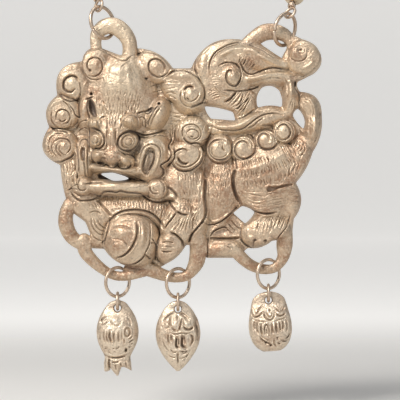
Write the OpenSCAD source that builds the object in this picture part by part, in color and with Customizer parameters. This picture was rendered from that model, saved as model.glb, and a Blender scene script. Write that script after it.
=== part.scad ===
// Guardian lion necklace: a cast openwork lion pendant on two jump rings, three fruit drops
// below it, and a loop of oval-link chain with a bead at each end and a clasp at the nape.
//
// The pendant is laid out on a design grid, x to the right and y down, in steps of one
// "cell". Heights above the pendant's flat back are in millimetres.

/* [Pendant] */
// Width of the lion pendant
pendant_w = 76; // [70:1:82]
// Thickness of the cast ground between the raised forms
ground_t = 2; // [1.8:0.1:2.2]
// Size of one facet of the raised relief
facet = 1.15; // [1.1:0.05:2]
// Fullness of the domed forms, lower is fuller
dome_power = 0.55; // [0.4:0.05:0.9]
// Height of the ring bars' centre line above the flat back
bar_rise = 2.4; // [2.3:0.1:2.6]

/* [Neck loop] */
// Radius of the loop where it lies round the neck
neck_r = 60; // [55:1:70]
// Distance down the sloping loop from the nape to the pendant's rings
loop_drop = 230; // [200:5:260]
// Slope of the loop away from upright
loop_tilt = 32; // [20:1:40]

/* [Chain] */
// Wire diameter of the oval links
link_wire = 0.8; // [0.7:0.05:0.9]
// Width of an oval link over its wire
link_w = 3.7; // [3.6:0.1:4]
// Length of an oval link over its wire
link_l = 6; // [5.8:0.1:6.5]
// Slack between the wires of two links
link_gap = 0.15; // [0.12:0.01:0.2]

/* [Rings and beads] */
// Wire diameter of the two upper jump rings
ring_wire = 1; // [0.9:0.05:1.1]
// Mean radius of the upper jump rings
ring_r = 4.36; // [4.2:0.02:4.6]
// Wire diameter of the three lower jump rings
lower_wire = 0.9; // [0.8:0.05:1]
// Mean radius of the lower jump rings
lower_r = 3.9; // [3.8:0.05:4]
// Wire diameter of the connector rings and of the bead wires
fine_wire = 0.8; // [0.7:0.05:0.85]
// Mean radius of the connector rings
connector_r = 2.2; // [2.1:0.05:2.4]
// Diameter of the beads
bead_d = 6; // [5:0.5:7]
// Length of the barrel clasp
clasp_l = 10; // [8:1:14]

/* [Hidden] */

pendant_cells = 281;
cell = pendant_w / pendant_cells;
mid_x = 194;
mid_y = 200;
silver = [0.72, 0.66, 0.58];
gold = [0.68, 0.54, 0.34];
smooth = 48;

// Cast body outline, clockwise from the upper left: x, y and how far the arc from the row
// before it stands out from its chord
body_outline = [
    [82, 61, 0], [90, 48, 2], [102, 48, 0], [120, 55, 0], [137, 48, 0],
    [173, 68, 5.5], [191, 68, 0], [240, 39, 11], [263, 49, 0], [280, 59, 0],
    [288, 60, 0], [296, 50, 0], [301, 39.5, 0], [322.5, 56, 5], [298, 81.5, 5],
    [297.5, 87, -0.5], [300, 91.5, 0], [322, 115, 8], [313, 152, 3.5], [296, 183, 2],
    [294, 219, 6.5], [292, 238, 0], [272, 241, 0], [248, 248, 3], [236, 258, 0],
    [206, 258, 0], [203, 247, 0], [186, 245, 0], [166, 264, 2.5], [150, 274, 0],
    [138, 267, 0], [123, 265, 0.5], [104, 249, 2], [84, 248, 0], [90, 234, 0], [85, 222, 0],
    [74, 214, 0], [66, 200, 0], [60, 165, 1], [49, 127, 12.5], [57, 95, 7], [82, 61, 12]
];

// Gaps cut right through the body, in the same form
body_gaps = [
    [[262, 87.5, 0], [279, 90, 3], [282, 107, 1.5], [258, 107.5, -2], [262, 87.5, 3]],
    [[204.5, 106, 0], [233, 112, 1], [235.6, 120.4, 0], [211, 118.5, 0], [204.5, 106, 1]],
    [[293, 115.5, 0], [298, 108.5, 1], [305, 122, 1.5], [304, 129, 0], [293, 115.5, 1]],
    [[233, 213, 0], [242, 206, 0], [254.7, 212, 1], [245, 223.5, 1], [233, 213, 0]],
    [[99, 173.5, 0], [112, 172.5, 0], [130, 178.5, 0.5], [112, 180.5, 1], [99, 173.5, 0]]
];

// Raised forms of the lion: x, y, half-width, half-height, turn in degrees, top above the back
forms = [
    // head and face
    [118, 100, 40, 50, 0, 6.4], [122, 84, 30, 34, 0, 7.6], [113, 140, 26, 34, 0, 8.6],
    [130, 122, 13, 11, 10, 9.2], [96, 124, 11, 9, 0, 8.4], [129, 143, 12, 10, -20, 8.8],
    [97, 141, 9, 10, 0, 8.4], [114, 155, 20, 15, 0, 10.2], [114, 160, 9, 8, 0, 11],
    [98, 156, 9, 9, 0, 9.8], [127, 162, 9, 9, 0, 9.8], [118, 170, 34, 8, 6, 8.8],
    [151, 158, 21, 30, 8, 7.2], [84, 160, 11, 24, 0, 6.4], [120, 188, 44, 9, 2, 7.6],
    [157, 190, 13, 11, 0, 7.4], [83, 186, 12, 10, 0, 7], [157, 115, 12, 20, 25, 6.4],
    [85, 112, 8, 18, 5, 5],
    // mane, from the left round to the right
    [95, 66, 17, 19, 0, 5.6], [73, 80, 19, 21, 0, 5.2], [62, 112, 19, 18, 0, 5.2],
    [60, 146, 19, 18, 0, 5.2], [72, 178, 14, 26, -8, 4.8], [82, 206, 18, 20, -20, 4.6],
    [96, 226, 14, 26, -20, 4.4], [158, 66, 22, 18, 25, 5.4], [184, 86, 24, 20, 20, 5.6],
    [190, 98, 18, 17, 0, 6], [192, 133, 17, 17, 0, 5.8], [186, 156, 19, 17, 0, 5.8],
    [182, 184, 24, 26, 0, 5.4], [134, 212, 40, 20, 4, 5.6],
    // ball, forepaw and chest
    [131, 240, 29, 31, 0, 8.2], [170, 247, 15, 18, 20, 6.6], [178, 224, 18, 28, 12, 6],
    [197, 215, 13, 40, 8, 5.2], [196, 248, 14, 14, 0, 4.6],
    // belly, back and hind leg
    [222, 190, 17, 36, 6, 4.8], [220, 149, 14, 15, 0, 5.6], [244, 150, 14, 14, 0, 5.6],
    [266, 142, 13, 12, 0, 5.4], [284, 132, 12, 12, 0, 5.2], [250, 123, 42, 9, -12, 4.6],
    [270, 172, 40, 26, -8, 7], [300, 160, 16, 26, 10, 5.4], [262, 208, 26, 20, 10, 5.6],
    [266, 232, 27, 17, -8, 6], [292, 204, 11, 28, 0, 5], [224, 249, 20, 10, 0, 4.4],
    [282, 232, 12, 12, 0, 4.6],
    // tail plume and tail ring
    [222, 72, 32, 36, 20, 5.2], [232, 78, 14, 15, 0, 6.4], [252, 58, 50, 15, 8, 6],
    [270, 78, 44, 9, 0, 5], [304, 57, 21, 20, 0, 5.8], [291, 96, 9, 22, 0, 4.8],
    [238, 104, 20, 15, -20, 4.2], [310, 105, 13, 15, 40, 5], [312, 128, 12, 24, -6, 5],
    [206, 52, 16, 18, 0, 4.2]
];

// Round bars that carry the jump rings: x, y, half-width in cells, half-depth in millimetres
bars = [
    // upper left
    [[97, 53, 6, 1.2], [95.6, 42, 5.8, 1], [97.5, 33, 7, 1.1], [105, 26.6, 8.2, 1.35],
     [114, 26, 8.8, 1.5], [122, 31, 8.6, 1.52], [128, 39, 7.9, 1.58], [130, 48, 7.6, 1.64],
     [129, 58, 7.6, 1.5]],
    // upper right
    [[244, 47, 7, 1.5], [255, 38, 8, 1.6], [265, 32.2, 8.6, 1.54], [276, 32, 8.2, 1.4],
     [286.5, 36.5, 6.6, 1.1], [291.5, 47, 4.8, 1], [288, 58, 6, 1.3]],
    // upper right, on into the curl
    [[290, 38, 4.5, 1], [299, 45, 7, 1.35], [307, 54, 9, 1.6]],
    // lower right
    [[285, 234, 8, 1.6], [284.5, 246, 8.3, 1.5], [282.8, 258, 6, 1.2],
     [274.5, 268, 4.7, 0.9], [262, 269, 5.3, 1], [250, 264.5, 5.8, 1.2],
     [240, 256, 6.4, 1.4], [234, 248, 6.4, 1.46]],
    // lower middle
    [[198, 240, 9, 1.7], [198, 252, 8.6, 1.62], [196, 263, 8, 1.5], [188, 274.8, 5.4, 1],
     [177, 277.6, 5.1, 1], [165, 275.5, 6, 1.15], [154, 271.5, 7, 1.4], [144, 267, 8, 1.6]],
    // lower left
    [[84, 240, 7, 1.54], [84.5, 250, 7, 1.48], [91, 259, 6.4, 1.4], [101, 268, 5.4, 1.2],
     [111, 274.2, 4.9, 1.05], [120, 276.2, 4.9, 1], [130, 275, 5.4, 1.2], [144, 270, 7, 1.6]],
    // lower left, under the ball
    [[127, 268.5, 3.6, 0.9], [143, 269, 6, 1.4]],
    // left side
    [[70, 205, 7.5, 1.5], [66, 214, 7.4, 1.54], [66, 225, 7.8, 1.58], [71, 236, 7.4, 1.52],
     [80, 243, 6.8, 1.46], [88, 244, 6, 1.4]]
];
bar_sides = 10;
bar_slice = 0.02;

// Fruit drops: rows of y, half-width in cells, half-depth in millimetres
pomegranate = [
    [300, 2, 0.7], [302.5, 8, 0.95], [308, 12.6, 1], [313, 16, 1.5], [319, 18.8, 2.7],
    [326, 20.6, 3.4], [333, 21, 3.6], [341, 19.8, 3.5], [348, 17, 3.1], [354, 13.8, 2.5],
    [358, 12.8, 2.2], [363, 13.6, 2.3], [367, 13.4, 2.2]
];
peach = [
    [300.5, 2, 0.7], [303, 8, 0.95], [309, 13.8, 1], [314, 17, 1.5], [320, 20, 2.7],
    [328, 22, 3.4], [336, 22.3, 3.5], [345, 20.4, 3.3], [353, 16.6, 2.7], [361, 11, 1.9],
    [367, 5.8, 1.1], [371, 1.4, 0.4]
];
melon = [
    [291.6, 4, 0.7], [293.8, 10.2, 0.95], [298, 15.4, 1], [304, 17.6, 1.2], [310, 19, 2.2],
    [317, 20.6, 3], [325, 21.6, 3.4], [333, 21.2, 3.4], [341, 18.8, 3.1], [347, 14.6, 2.6],
    [351, 9, 2]
];
drop_sides = 20;
drop_hole_r = 0.9;
// Where each drop hangs: hole x, hole y, lean in degrees
pomegranate_at = [117.6, 308, 0];
peach_at = [178, 309, 0];
melon_at = [268.4, 300, 4];
// Turn of the lower rings about the upright
lower_turn = 38;
crown_tooth_l = 3.1;
crown_tooth_r = 1.5;
crown_spread = 8;

// Upper rings: centre x and y, turn about the upright, tip to the right, and how far they
// stand in front of the bars in millimetres
upper_rings = [[102.5, 22.6, 48, -12, 0.25], [284.8, 29.6, 50, 18, 0.25]];
ring_in = ring_wire / 2;

// The two upper rings' top strands, which the pendant swings on
function to_x(x) = (x - mid_x) * cell;
function to_z(y) = (mid_y - y) * cell;
function ring_top_point(at) = [
    to_x(at[0]) + ring_r * sin(at[3]), to_z(at[1]) + ring_r * cos(at[3])];
left_top = ring_top_point(upper_rings[0]);
right_top = ring_top_point(upper_rings[1]);
swing_forward = upper_rings[0][4];
swing_x = (right_top[0] - left_top[0]) / 2;
swing_z = (left_top[1] + right_top[1]) / 2;

// Place of the pendant's flat back and of its design grid's middle
pendant_y = swing_forward - loop_drop * sin(loop_tilt);
pendant_z = -loop_drop * cos(loop_tilt) - swing_z;

// The loop's straight run leaves the pendant and meets the round part at a tangent
run_x = loop_drop - neck_r;
run_d = norm([swing_x, run_x]);
run_l = sqrt(run_d * run_d - neck_r * neck_r);
turn_start = atan2(swing_x, run_x) + acos(neck_r / run_d);
arc_l = neck_r * (180 - turn_start) * PI / 180;
strand_l = run_l + arc_l;

// Stations along a strand, counted from the upper ring's top strand
eye_r = 1.55;
fine_r = fine_wire / 2;
eye_mid = eye_r - (fine_r + ring_in + 0.22);
stem_r = fine_r * 0.92;
wrap_r = fine_wire * 0.9;
wrap_n = 2;
wrap_pitch = fine_wire * 0.9;
wrap_start = eye_mid + eye_r + fine_wire;
bead_start = wrap_start + (wrap_n - 0.5) * wrap_pitch + 0.1;
bead_mid = bead_start + bead_d / 2;
stem_half = bead_mid - eye_mid - eye_r;
wire_end = 2 * bead_mid - eye_mid;
bead_bore_r = fine_r + 0.15;
link_r = (link_w - link_wire) / 2;
link_straight = link_l - link_w;
link_half = link_straight / 2 + link_r;
pitch_wish = 2 * link_half - link_wire - link_gap;
chain_start = wire_end + eye_r - fine_r - link_wire / 2 - link_gap + link_half;
clasp_half = clasp_l / 2;
clasp_r = 1.8;
clasp_eye_r = 1.3;
clasp_eye_mid = clasp_half + clasp_eye_r - 0.2;
clasp_reach = clasp_eye_mid + clasp_eye_r - fine_r - link_wire / 2 - 1.6 * link_gap;
chain_run = strand_l - clasp_reach - link_half - chain_start;
link_n = 2 * ceil(chain_run / pitch_wish / 2 + 0.5);
pitch = chain_run / (link_n - 1);

// Roll of the eye that holds an upper ring, so that the ring's strand runs through its hole
function eye_roll(side, at) =
    let (lean = side * (turn_start - 90), strand = [
             cos(at[2]) * cos(at[3]), sin(at[2]), -cos(at[2]) * sin(at[3])],
         across = [cos(lean), sin(lean) * sin(loop_tilt), sin(lean) * cos(loop_tilt)],
         front = [0, -cos(loop_tilt), sin(loop_tilt)])
    atan2(strand * across, strand * front);

// Points of a path whose rows are x, y and the outward stand of the arc before each
function arc_steps(b) = abs(b) < 0.2 ? 1 : abs(b) < 4 ? 4 : 9;
function arc_point(p, q, b, t) =
    let (d = [q[0] - p[0], q[1] - p[1]], n = [d[1], -d[0]] / norm(d), s = 4 * b * t * (1 - t))
    [p[0] + d[0] * t + n[0] * s, p[1] + d[1] * t + n[1] * s];
function path_points(rows) = [
    for (i = [1:len(rows) - 1])
        let (m = arc_steps(rows[i][2]))
        for (k = [1:m])
            let (p = arc_point(rows[i - 1], rows[i], rows[i][2], k / m))
            [to_x(p[0]), to_z(p[1])]
];

// Height of the relief above the flat back at a point of the design grid
function form_top(f, x, y) =
    let (c = cos(f[4]), s = sin(f[4]), dx = x - f[0], dy = y - f[1],
         a = (dx * c + dy * s) / f[2], b = (dy * c - dx * s) / f[3], q = a * a + b * b)
    q < 1 ? ground_t + (f[5] - ground_t) * pow(1 - q, dome_power) : ground_t;
function relief(x, y) = max([for (f = forms) form_top(f, x, y)]);

// Moves a shape from the pendant's own plane, drawn lying flat with its front up, into place
module in_pendant() {
    translate([0, pendant_y, pendant_z])
    rotate([90, 0, 0])
    translate([0, 0, -bar_rise])
    children();
}

module relief_block() {
    x0 = 40;
    x1 = 326;
    y0 = 34;
    y1 = 278;
    step = facet / cell;
    nx = ceil((x1 - x0) / step);
    ny = ceil((y1 - y0) / step);
    top = [for (i = [0:nx]) for (j = [0:ny])
        let (x = x0 + (x1 - x0) * i / nx, y = y1 + (y0 - y1) * j / ny)
        [to_x(x), to_z(y), relief(x, y)]];
    rim = concat(
        [for (i = [0:nx]) i * (ny + 1)],
        [for (j = [1:ny]) nx * (ny + 1) + j],
        [for (i = [1:nx]) (nx - i) * (ny + 1) + ny],
        [for (j = [1:ny - 1]) ny - j]);
    n_top = len(top);
    n_rim = len(rim);
    floor_points = [for (k = rim) [top[k][0], top[k][1], 0]];
    faces = concat(
        [for (i = [0:nx - 1]) for (j = [0:ny - 1])
            let (a = i * (ny + 1) + j, b = a + ny + 1) for (f = [[a, a + 1, b], [b, a + 1, b + 1]]) f],
        [for (k = [0:n_rim - 1])
            [rim[k], rim[(k + 1) % n_rim], n_top + (k + 1) % n_rim, n_top + k]],
        [[for (k = [0:n_rim - 1]) n_top + k]]);
    polyhedron(points = concat(top, floor_points), faces = faces);
}

module bar_section(rows, i) {
    a = rows[max(i - 1, 0)];
    b = rows[min(i + 1, len(rows) - 1)];
    translate([to_x(rows[i][0]), to_z(rows[i][1]), bar_rise])
    rotate([0, 0, atan2(a[1] - b[1], b[0] - a[0])])
    rotate([90, 0, 90])
    linear_extrude(bar_slice)
    scale([rows[i][2] * cell, rows[i][3]])
    circle(r = 1, $fn = bar_sides);
}

module ring_bar(rows) {
    for (i = [1:len(rows) - 1])
        hull() {
            bar_section(rows, i - 1);
            bar_section(rows, i);
        }
}

module foo_dog_pendant() {
    color(silver)
    in_pendant() {
        intersection() {
            relief_block();
            linear_extrude(12)
            difference() {
                polygon(path_points(body_outline));
                for (gap = body_gaps) polygon(path_points(gap));
            }
        }
        for (rows = bars) ring_bar(rows);
    }
}

// A closed round ring whose hole faces along Z
module wire_ring(r, wire) {
    rotate_extrude($fn = smooth)
    translate([r, 0])
    circle(d = wire, $fn = smooth);
}

module ring_top(side) {
    at = upper_rings[side];
    color(silver)
    translate([to_x(at[0]), pendant_y - at[4], pendant_z + to_z(at[1])])
    rotate([0, at[3], 0])
    rotate([0, 0, at[2]])
    rotate([90, 0, 0])
    wire_ring(ring_r, ring_wire);
}

// Height of a drop's parts, from the hole that it hangs by
connector_up = connector_r - 0.3;
lower_ring_up = connector_up + connector_r - fine_r - lower_wire / 2 - 0.12 + lower_r;

module at_hole(at) {
    translate([to_x(at[0]), pendant_y, pendant_z + to_z(at[1])])
    children();
}

module ring_lower(at) {
    color(silver)
    at_hole(at)
    translate([0, 0, lower_ring_up])
    rotate([0, 0, lower_turn])
    rotate([90, 0, 0])
    wire_ring(lower_r, lower_wire);
}

module connector(at) {
    color(silver)
    at_hole(at)
    translate([0, 0, connector_up])
    rotate([0, 90, 0])
    wire_ring(connector_r, fine_wire);
}

// A drop lofted through its rows, drilled from front to back at the hole it hangs by
module fruit(rows, at) {
    n = drop_sides;
    m = len(rows);
    points = [for (row = rows) for (k = [0:n - 1])
        [row[1] * cell * cos(360 * k / n), row[2] * sin(360 * k / n), (at[1] - row[0]) * cell]];
    faces = concat(
        [for (i = [0:m - 2]) for (k = [0:n - 1])
            let (a = i * n + k, b = i * n + (k + 1) % n)
            for (f = [[a, b, a + n], [b, b + n, a + n]]) f],
        [[for (k = [0:n - 1]) n - 1 - k], [for (k = [0:n - 1]) (m - 1) * n + k]]);
    difference() {
        polyhedron(points = points, faces = faces);
        rotate([90, 0, 0])
        cylinder(r = drop_hole_r, h = 10, center = true, $fn = smooth);
    }
}

module drop(rows, at) {
    color(silver)
    at_hole(at)
    rotate([0, -at[2], 0]) {
        fruit(rows, at);
        children();
    }
}

module pomegranate_drop() {
    base_z = (pomegranate_at[1] - 364) * cell;
    drop(pomegranate, pomegranate_at)
    for (k = [0:3])
        rotate([0, 0, 90 * k])
        translate([k % 2 == 0 ? 2.5 : 0.9, 0, base_z])
        rotate([0, 180 - crown_spread, 0])
        cylinder(r1 = crown_tooth_r, r2 = 0.25, h = crown_tooth_l, $fn = smooth);
}

module peach_drop() {
    drop(peach, peach_at);
}

module melon_drop() {
    drop(melon, melon_at);
}

// Place on the neck loop at a distance along one strand, with +Y running on up the strand
// and +X outward; side is -1 for the left strand and 1 for the right
module on_loop(side, s) {
    on_run = s < run_l;
    a = on_run ? turn_start : turn_start + (s - run_l) / neck_r * 180 / PI;
    ux = swing_x + (neck_r * sin(turn_start) - swing_x) * s / run_l;
    uy = loop_drop + (neck_r + neck_r * cos(turn_start) - loop_drop) * s / run_l;
    x = on_run ? ux : neck_r * sin(a);
    y = on_run ? uy : neck_r + neck_r * cos(a);
    mid = (left_top[0] + right_top[0]) / 2 * (1 - min(s / run_l, 1));
    rise = side * (right_top[1] - left_top[1]) / 2 * (1 - min(s / run_l, 1));
    translate([mid, 0, rise])
    rotate([90 - loop_tilt, 0, 0])
    translate([side * x, -y, 0])
    rotate([0, 0, side * (a - 90)])
    children();
}

// A wire ring whose hole faces sideways to the strand, rolled about the strand
module strand_eye(side, s, r, roll) {
    on_loop(side, s)
    rotate([0, roll, 0])
    wire_ring(r, fine_wire);
}

// The straight wire through the bead, with its wraps at each end, turned in one piece
module wrapped_stem() {
    rotate_extrude($fn = smooth) {
        translate([0, -stem_half])
        square([stem_r, 2 * stem_half]);
        for (end = [-1, 1])
            translate([0, end * (bead_mid - wrap_start - wrap_pitch / 2) - wrap_pitch / 2])
            square([wrap_r, wrap_pitch]);
        for (k = [0:wrap_n - 1])
            for (end = [-1, 1])
                translate([wrap_r, end * (bead_mid - wrap_start - k * wrap_pitch)])
                circle(d = fine_wire, $fn = smooth);
    }
}

module bead_wire(side) {
    color(silver) {
        strand_eye(side, eye_mid, eye_r, eye_roll(side, upper_rings[side < 0 ? 0 : 1]));
        strand_eye(side, wire_end, eye_r, 90);
        on_loop(side, bead_mid)
        rotate([-90, 0, 0])
        wrapped_stem();
    }
}

module bead(side) {
    color(gold)
    on_loop(side, bead_mid)
    rotate([90, 0, 0])
    difference() {
        sphere(d = bead_d, $fn = smooth);
        cylinder(r = bead_bore_r, h = bead_d + 1, center = true, $fn = smooth);
    }
}

module half_turn(start) {
    rotate([0, 0, start])
    rotate_extrude(angle = 180, $fn = smooth)
    translate([link_r, 0])
    circle(d = link_wire, $fn = smooth);
}

module oval_link() {
    for (end = [-1, 1]) {
        translate([0, end * link_straight / 2, 0])
        half_turn(end > 0 ? 0 : 180);
        translate([end * link_r, -link_straight / 2, 0])
        rotate([-90, 0, 0])
        cylinder(d = link_wire, h = link_straight, $fn = smooth);
    }
}

module chain(side) {
    color(silver)
    for (i = [0:link_n - 1])
        on_loop(side, chain_start + i * pitch)
        rotate([0, i % 2 == 0 ? 0 : 90, 0])
        oval_link();
}

module clasp() {
    color(silver)
    rotate([90 - loop_tilt, 0, 0]) {
        rotate([0, 90, 0])
        cylinder(r = clasp_r, h = clasp_l, center = true, $fn = smooth);
        for (side = [-1, 1])
            translate([side * clasp_eye_mid, 0, 0])
            wire_ring(clasp_eye_r, fine_wire);
    }
}

foo_dog_pendant();
ring_top(0);  // ring_top_left
ring_top(1);  // ring_top_right
ring_lower(pomegranate_at);  // ring_lower_left
ring_lower(peach_at);  // ring_lower_middle
ring_lower(melon_at);  // ring_lower_right
connector(pomegranate_at);  // connector_left
connector(peach_at);  // connector_middle
connector(melon_at);  // connector_right
pomegranate_drop();
peach_drop();
melon_drop();
bead(-1);  // bead_left
bead(1);  // bead_right
bead_wire(-1);  // bead_wire_left
bead_wire(1);  // bead_wire_right
chain(-1);  // chain_left
chain(1);  // chain_right
clasp();
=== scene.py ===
"""Guardian lion necklace: a cast openwork pendant, three fruit drops and a loop of link chain.

The cast pieces are laid out on the same design grid as part.scad: x to the right and y down,
in steps of one cell. Heights above the pendant's flat back are in millimetres, and every
finished mesh is in metres, in the frame's own place.
"""

import math

import bpy
import numpy as np
from mathutils import Matrix, Vector


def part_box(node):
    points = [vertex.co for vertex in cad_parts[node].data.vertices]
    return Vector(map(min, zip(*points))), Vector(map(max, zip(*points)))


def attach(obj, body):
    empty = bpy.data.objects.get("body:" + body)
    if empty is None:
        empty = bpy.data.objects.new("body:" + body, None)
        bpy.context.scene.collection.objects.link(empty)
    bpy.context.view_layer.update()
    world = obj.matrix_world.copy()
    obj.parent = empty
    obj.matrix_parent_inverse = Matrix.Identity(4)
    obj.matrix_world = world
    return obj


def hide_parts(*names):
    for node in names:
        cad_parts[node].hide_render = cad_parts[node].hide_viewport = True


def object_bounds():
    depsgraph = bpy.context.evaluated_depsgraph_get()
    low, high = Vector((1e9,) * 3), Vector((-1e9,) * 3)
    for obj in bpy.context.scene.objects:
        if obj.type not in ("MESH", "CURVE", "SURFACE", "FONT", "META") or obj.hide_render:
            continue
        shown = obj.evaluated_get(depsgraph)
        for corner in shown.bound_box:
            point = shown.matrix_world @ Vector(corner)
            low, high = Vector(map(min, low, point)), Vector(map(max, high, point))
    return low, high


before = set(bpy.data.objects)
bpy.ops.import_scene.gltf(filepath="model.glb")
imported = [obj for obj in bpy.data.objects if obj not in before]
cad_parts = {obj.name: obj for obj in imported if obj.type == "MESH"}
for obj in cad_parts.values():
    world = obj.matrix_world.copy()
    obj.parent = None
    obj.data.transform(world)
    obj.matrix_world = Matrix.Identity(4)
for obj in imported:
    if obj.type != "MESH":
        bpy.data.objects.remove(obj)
cad_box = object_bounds()

MM = 0.001
# The design grid: a cell in metres, and the cell in line with the frame's middle
CELL = 0.076 / 281
MID_X, MID_Y = 194, 200
# Millimetres above the back: the middle of the bars, and the plain ground of the relief
BAR_RISE, GROUND = 2.4, 2.0
# Upper rings: centre x and y, turn, tip to the right, and how far they stand forward
UPPER_RINGS = ((102.5, 22.6, 48, -12, 0.25), (284.8, 29.6, 50, 18, 0.25))

# The plane of the bars and the height of the grid's middle, both taken from the left ring
ring_low, ring_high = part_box("ring_top_left")
ring_mid = (ring_low + ring_high) / 2
PLANE_Y = ring_mid.y + UPPER_RINGS[0][4] * MM
MIDDLE_Z = ring_mid.z - (MID_Y - UPPER_RINGS[0][1]) * CELL


# ---- Tables of the cast lion, in cells and millimetres ----

# Outline, clockwise from the upper left: x, y and how far the arc before it stands out
BODY_OUTLINE = [
    (82, 61, 0), (90, 48, 2), (102, 48, 0), (120, 55, 0), (137, 48, 0),
    (173, 68, 5.5), (191, 68, 0), (240, 39, 11), (263, 49, 0), (280, 59, 0),
    (286.5, 60, 0), (288, 50, -0.5), (294, 41, 0), (300.5, 38.8, 0), (311, 42.5, 0.6),
    (319, 50.5, 1), (321.8, 60.4, 0.8), (318.5, 69, 0.9), (309, 76, 1), (298, 81.5, 0.3),
    (297.5, 87, -0.5), (300, 91.5, 0), (322, 115, 8), (313, 152, 3.5), (296, 183, 2),
    (294, 219, 6.5), (292, 238, 0), (272, 241, 0), (248, 248, 3), (236, 258, 0),
    (206, 258, 0), (203, 247, 0), (186, 245, 0), (166, 264, 2.5), (150, 274, 0),
    (138, 267, 0), (123, 265, 0.5), (104, 249, 2), (84, 248, 0), (90, 234, 0),
    (85, 222, 0), (74, 214, 0), (66, 200, 0), (60, 165, 1), (49, 127, 12.5),
    (57, 95, 7), (82, 61, 12),
]
# Gaps cut right through, in the same form
BODY_GAPS = [
    [(262, 87.5, 0), (279, 90, 3), (282, 107, 1.5), (258, 107.5, -2), (262, 87.5, 3)],
    [(204.5, 106, 0), (233, 112, 1), (235.6, 120.4, 0), (211, 118.5, 0), (204.5, 106, 1)],
    [(293, 115.5, 0), (298, 108.5, 1), (305, 122, 1.5), (304, 129, 0), (293, 115.5, 1)],
    [(233, 213, 0), (242, 206, 0), (254.7, 212, 1), (245, 223.5, 1), (233, 213, 0)],
    [(99, 173.5, 0), (112, 172.5, 0), (130, 178.5, 0.5), (112, 180.5, 1), (99, 173.5, 0)],
]
# Round bars that carry the jump rings: x, y, half-width in cells, half-depth in millimetres
BARS = [
    # upper left
    [(97, 53, 6, 1.2), (95.6, 42, 5.8, 1), (97.5, 33, 7, 1.1), (105, 26.6, 8.2, 1.35),
     (114, 26, 8.8, 1.5), (122, 31, 8.6, 1.52), (128, 39, 7.9, 1.58), (130, 48, 7.6, 1.64),
     (129, 58, 7.6, 1.5)],
    # upper right, and its run on to the plume
    [(244, 47, 7, 1.5), (255, 38, 8, 1.6), (265, 32.2, 8.6, 1.54), (276, 32, 8.2, 1.4),
     (286.5, 36.5, 6.6, 1.1), (291.5, 47, 4.8, 1), (288, 58, 6, 1.3)],
    [(290, 38, 4.5, 1), (299, 45, 7, 1.35), (307, 54, 9, 1.6)],
    # ledge in the gap at the upper right
    [(251, 43.5, 5, 1.3), (257, 45.2, 3.8, 1.1), (262, 48.2, 3, 0.9), (269, 52.6, 2.6, 0.8),
     (277, 57.2, 2, 0.7), (283, 60, 1.2, 0.4)],
    # lower right
    [(285, 234, 8, 1.6), (284.5, 246, 8.3, 1.5), (282.8, 258, 6, 1.2),
     (274.5, 268, 4.7, 0.9), (262, 269, 5.3, 1), (250, 264.5, 5.8, 1.2),
     (240, 256, 6.4, 1.4), (234, 248, 6.4, 1.46)],
    # lower middle
    [(198, 240, 9, 1.7), (198, 252, 8.6, 1.62), (196, 263, 8, 1.5), (188, 274.8, 5.4, 1),
     (177, 277.6, 5.1, 1), (165, 275.5, 6, 1.15), (154, 271.5, 7, 1.4), (144, 267, 8, 1.6)],
    # lower left, and its run on below the ball
    [(84, 240, 7, 1.54), (84.5, 250, 7, 1.48), (91, 259, 6.4, 1.4), (101, 268, 5.4, 1.2),
     (111, 274.2, 4.9, 1.05), (120, 276.2, 4.9, 1), (130, 275, 5.4, 1.2), (144, 270, 7, 1.6)],
    [(127, 268.5, 3.6, 0.9), (143, 269, 6, 1.4)],
    # left side
    [(70, 205, 7.5, 1.5), (66, 214, 7.4, 1.54), (66, 225, 7.8, 1.58), (71, 236, 7.4, 1.52),
     (80, 243, 6.8, 1.46), (88, 244, 6, 1.4)],
]
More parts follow.
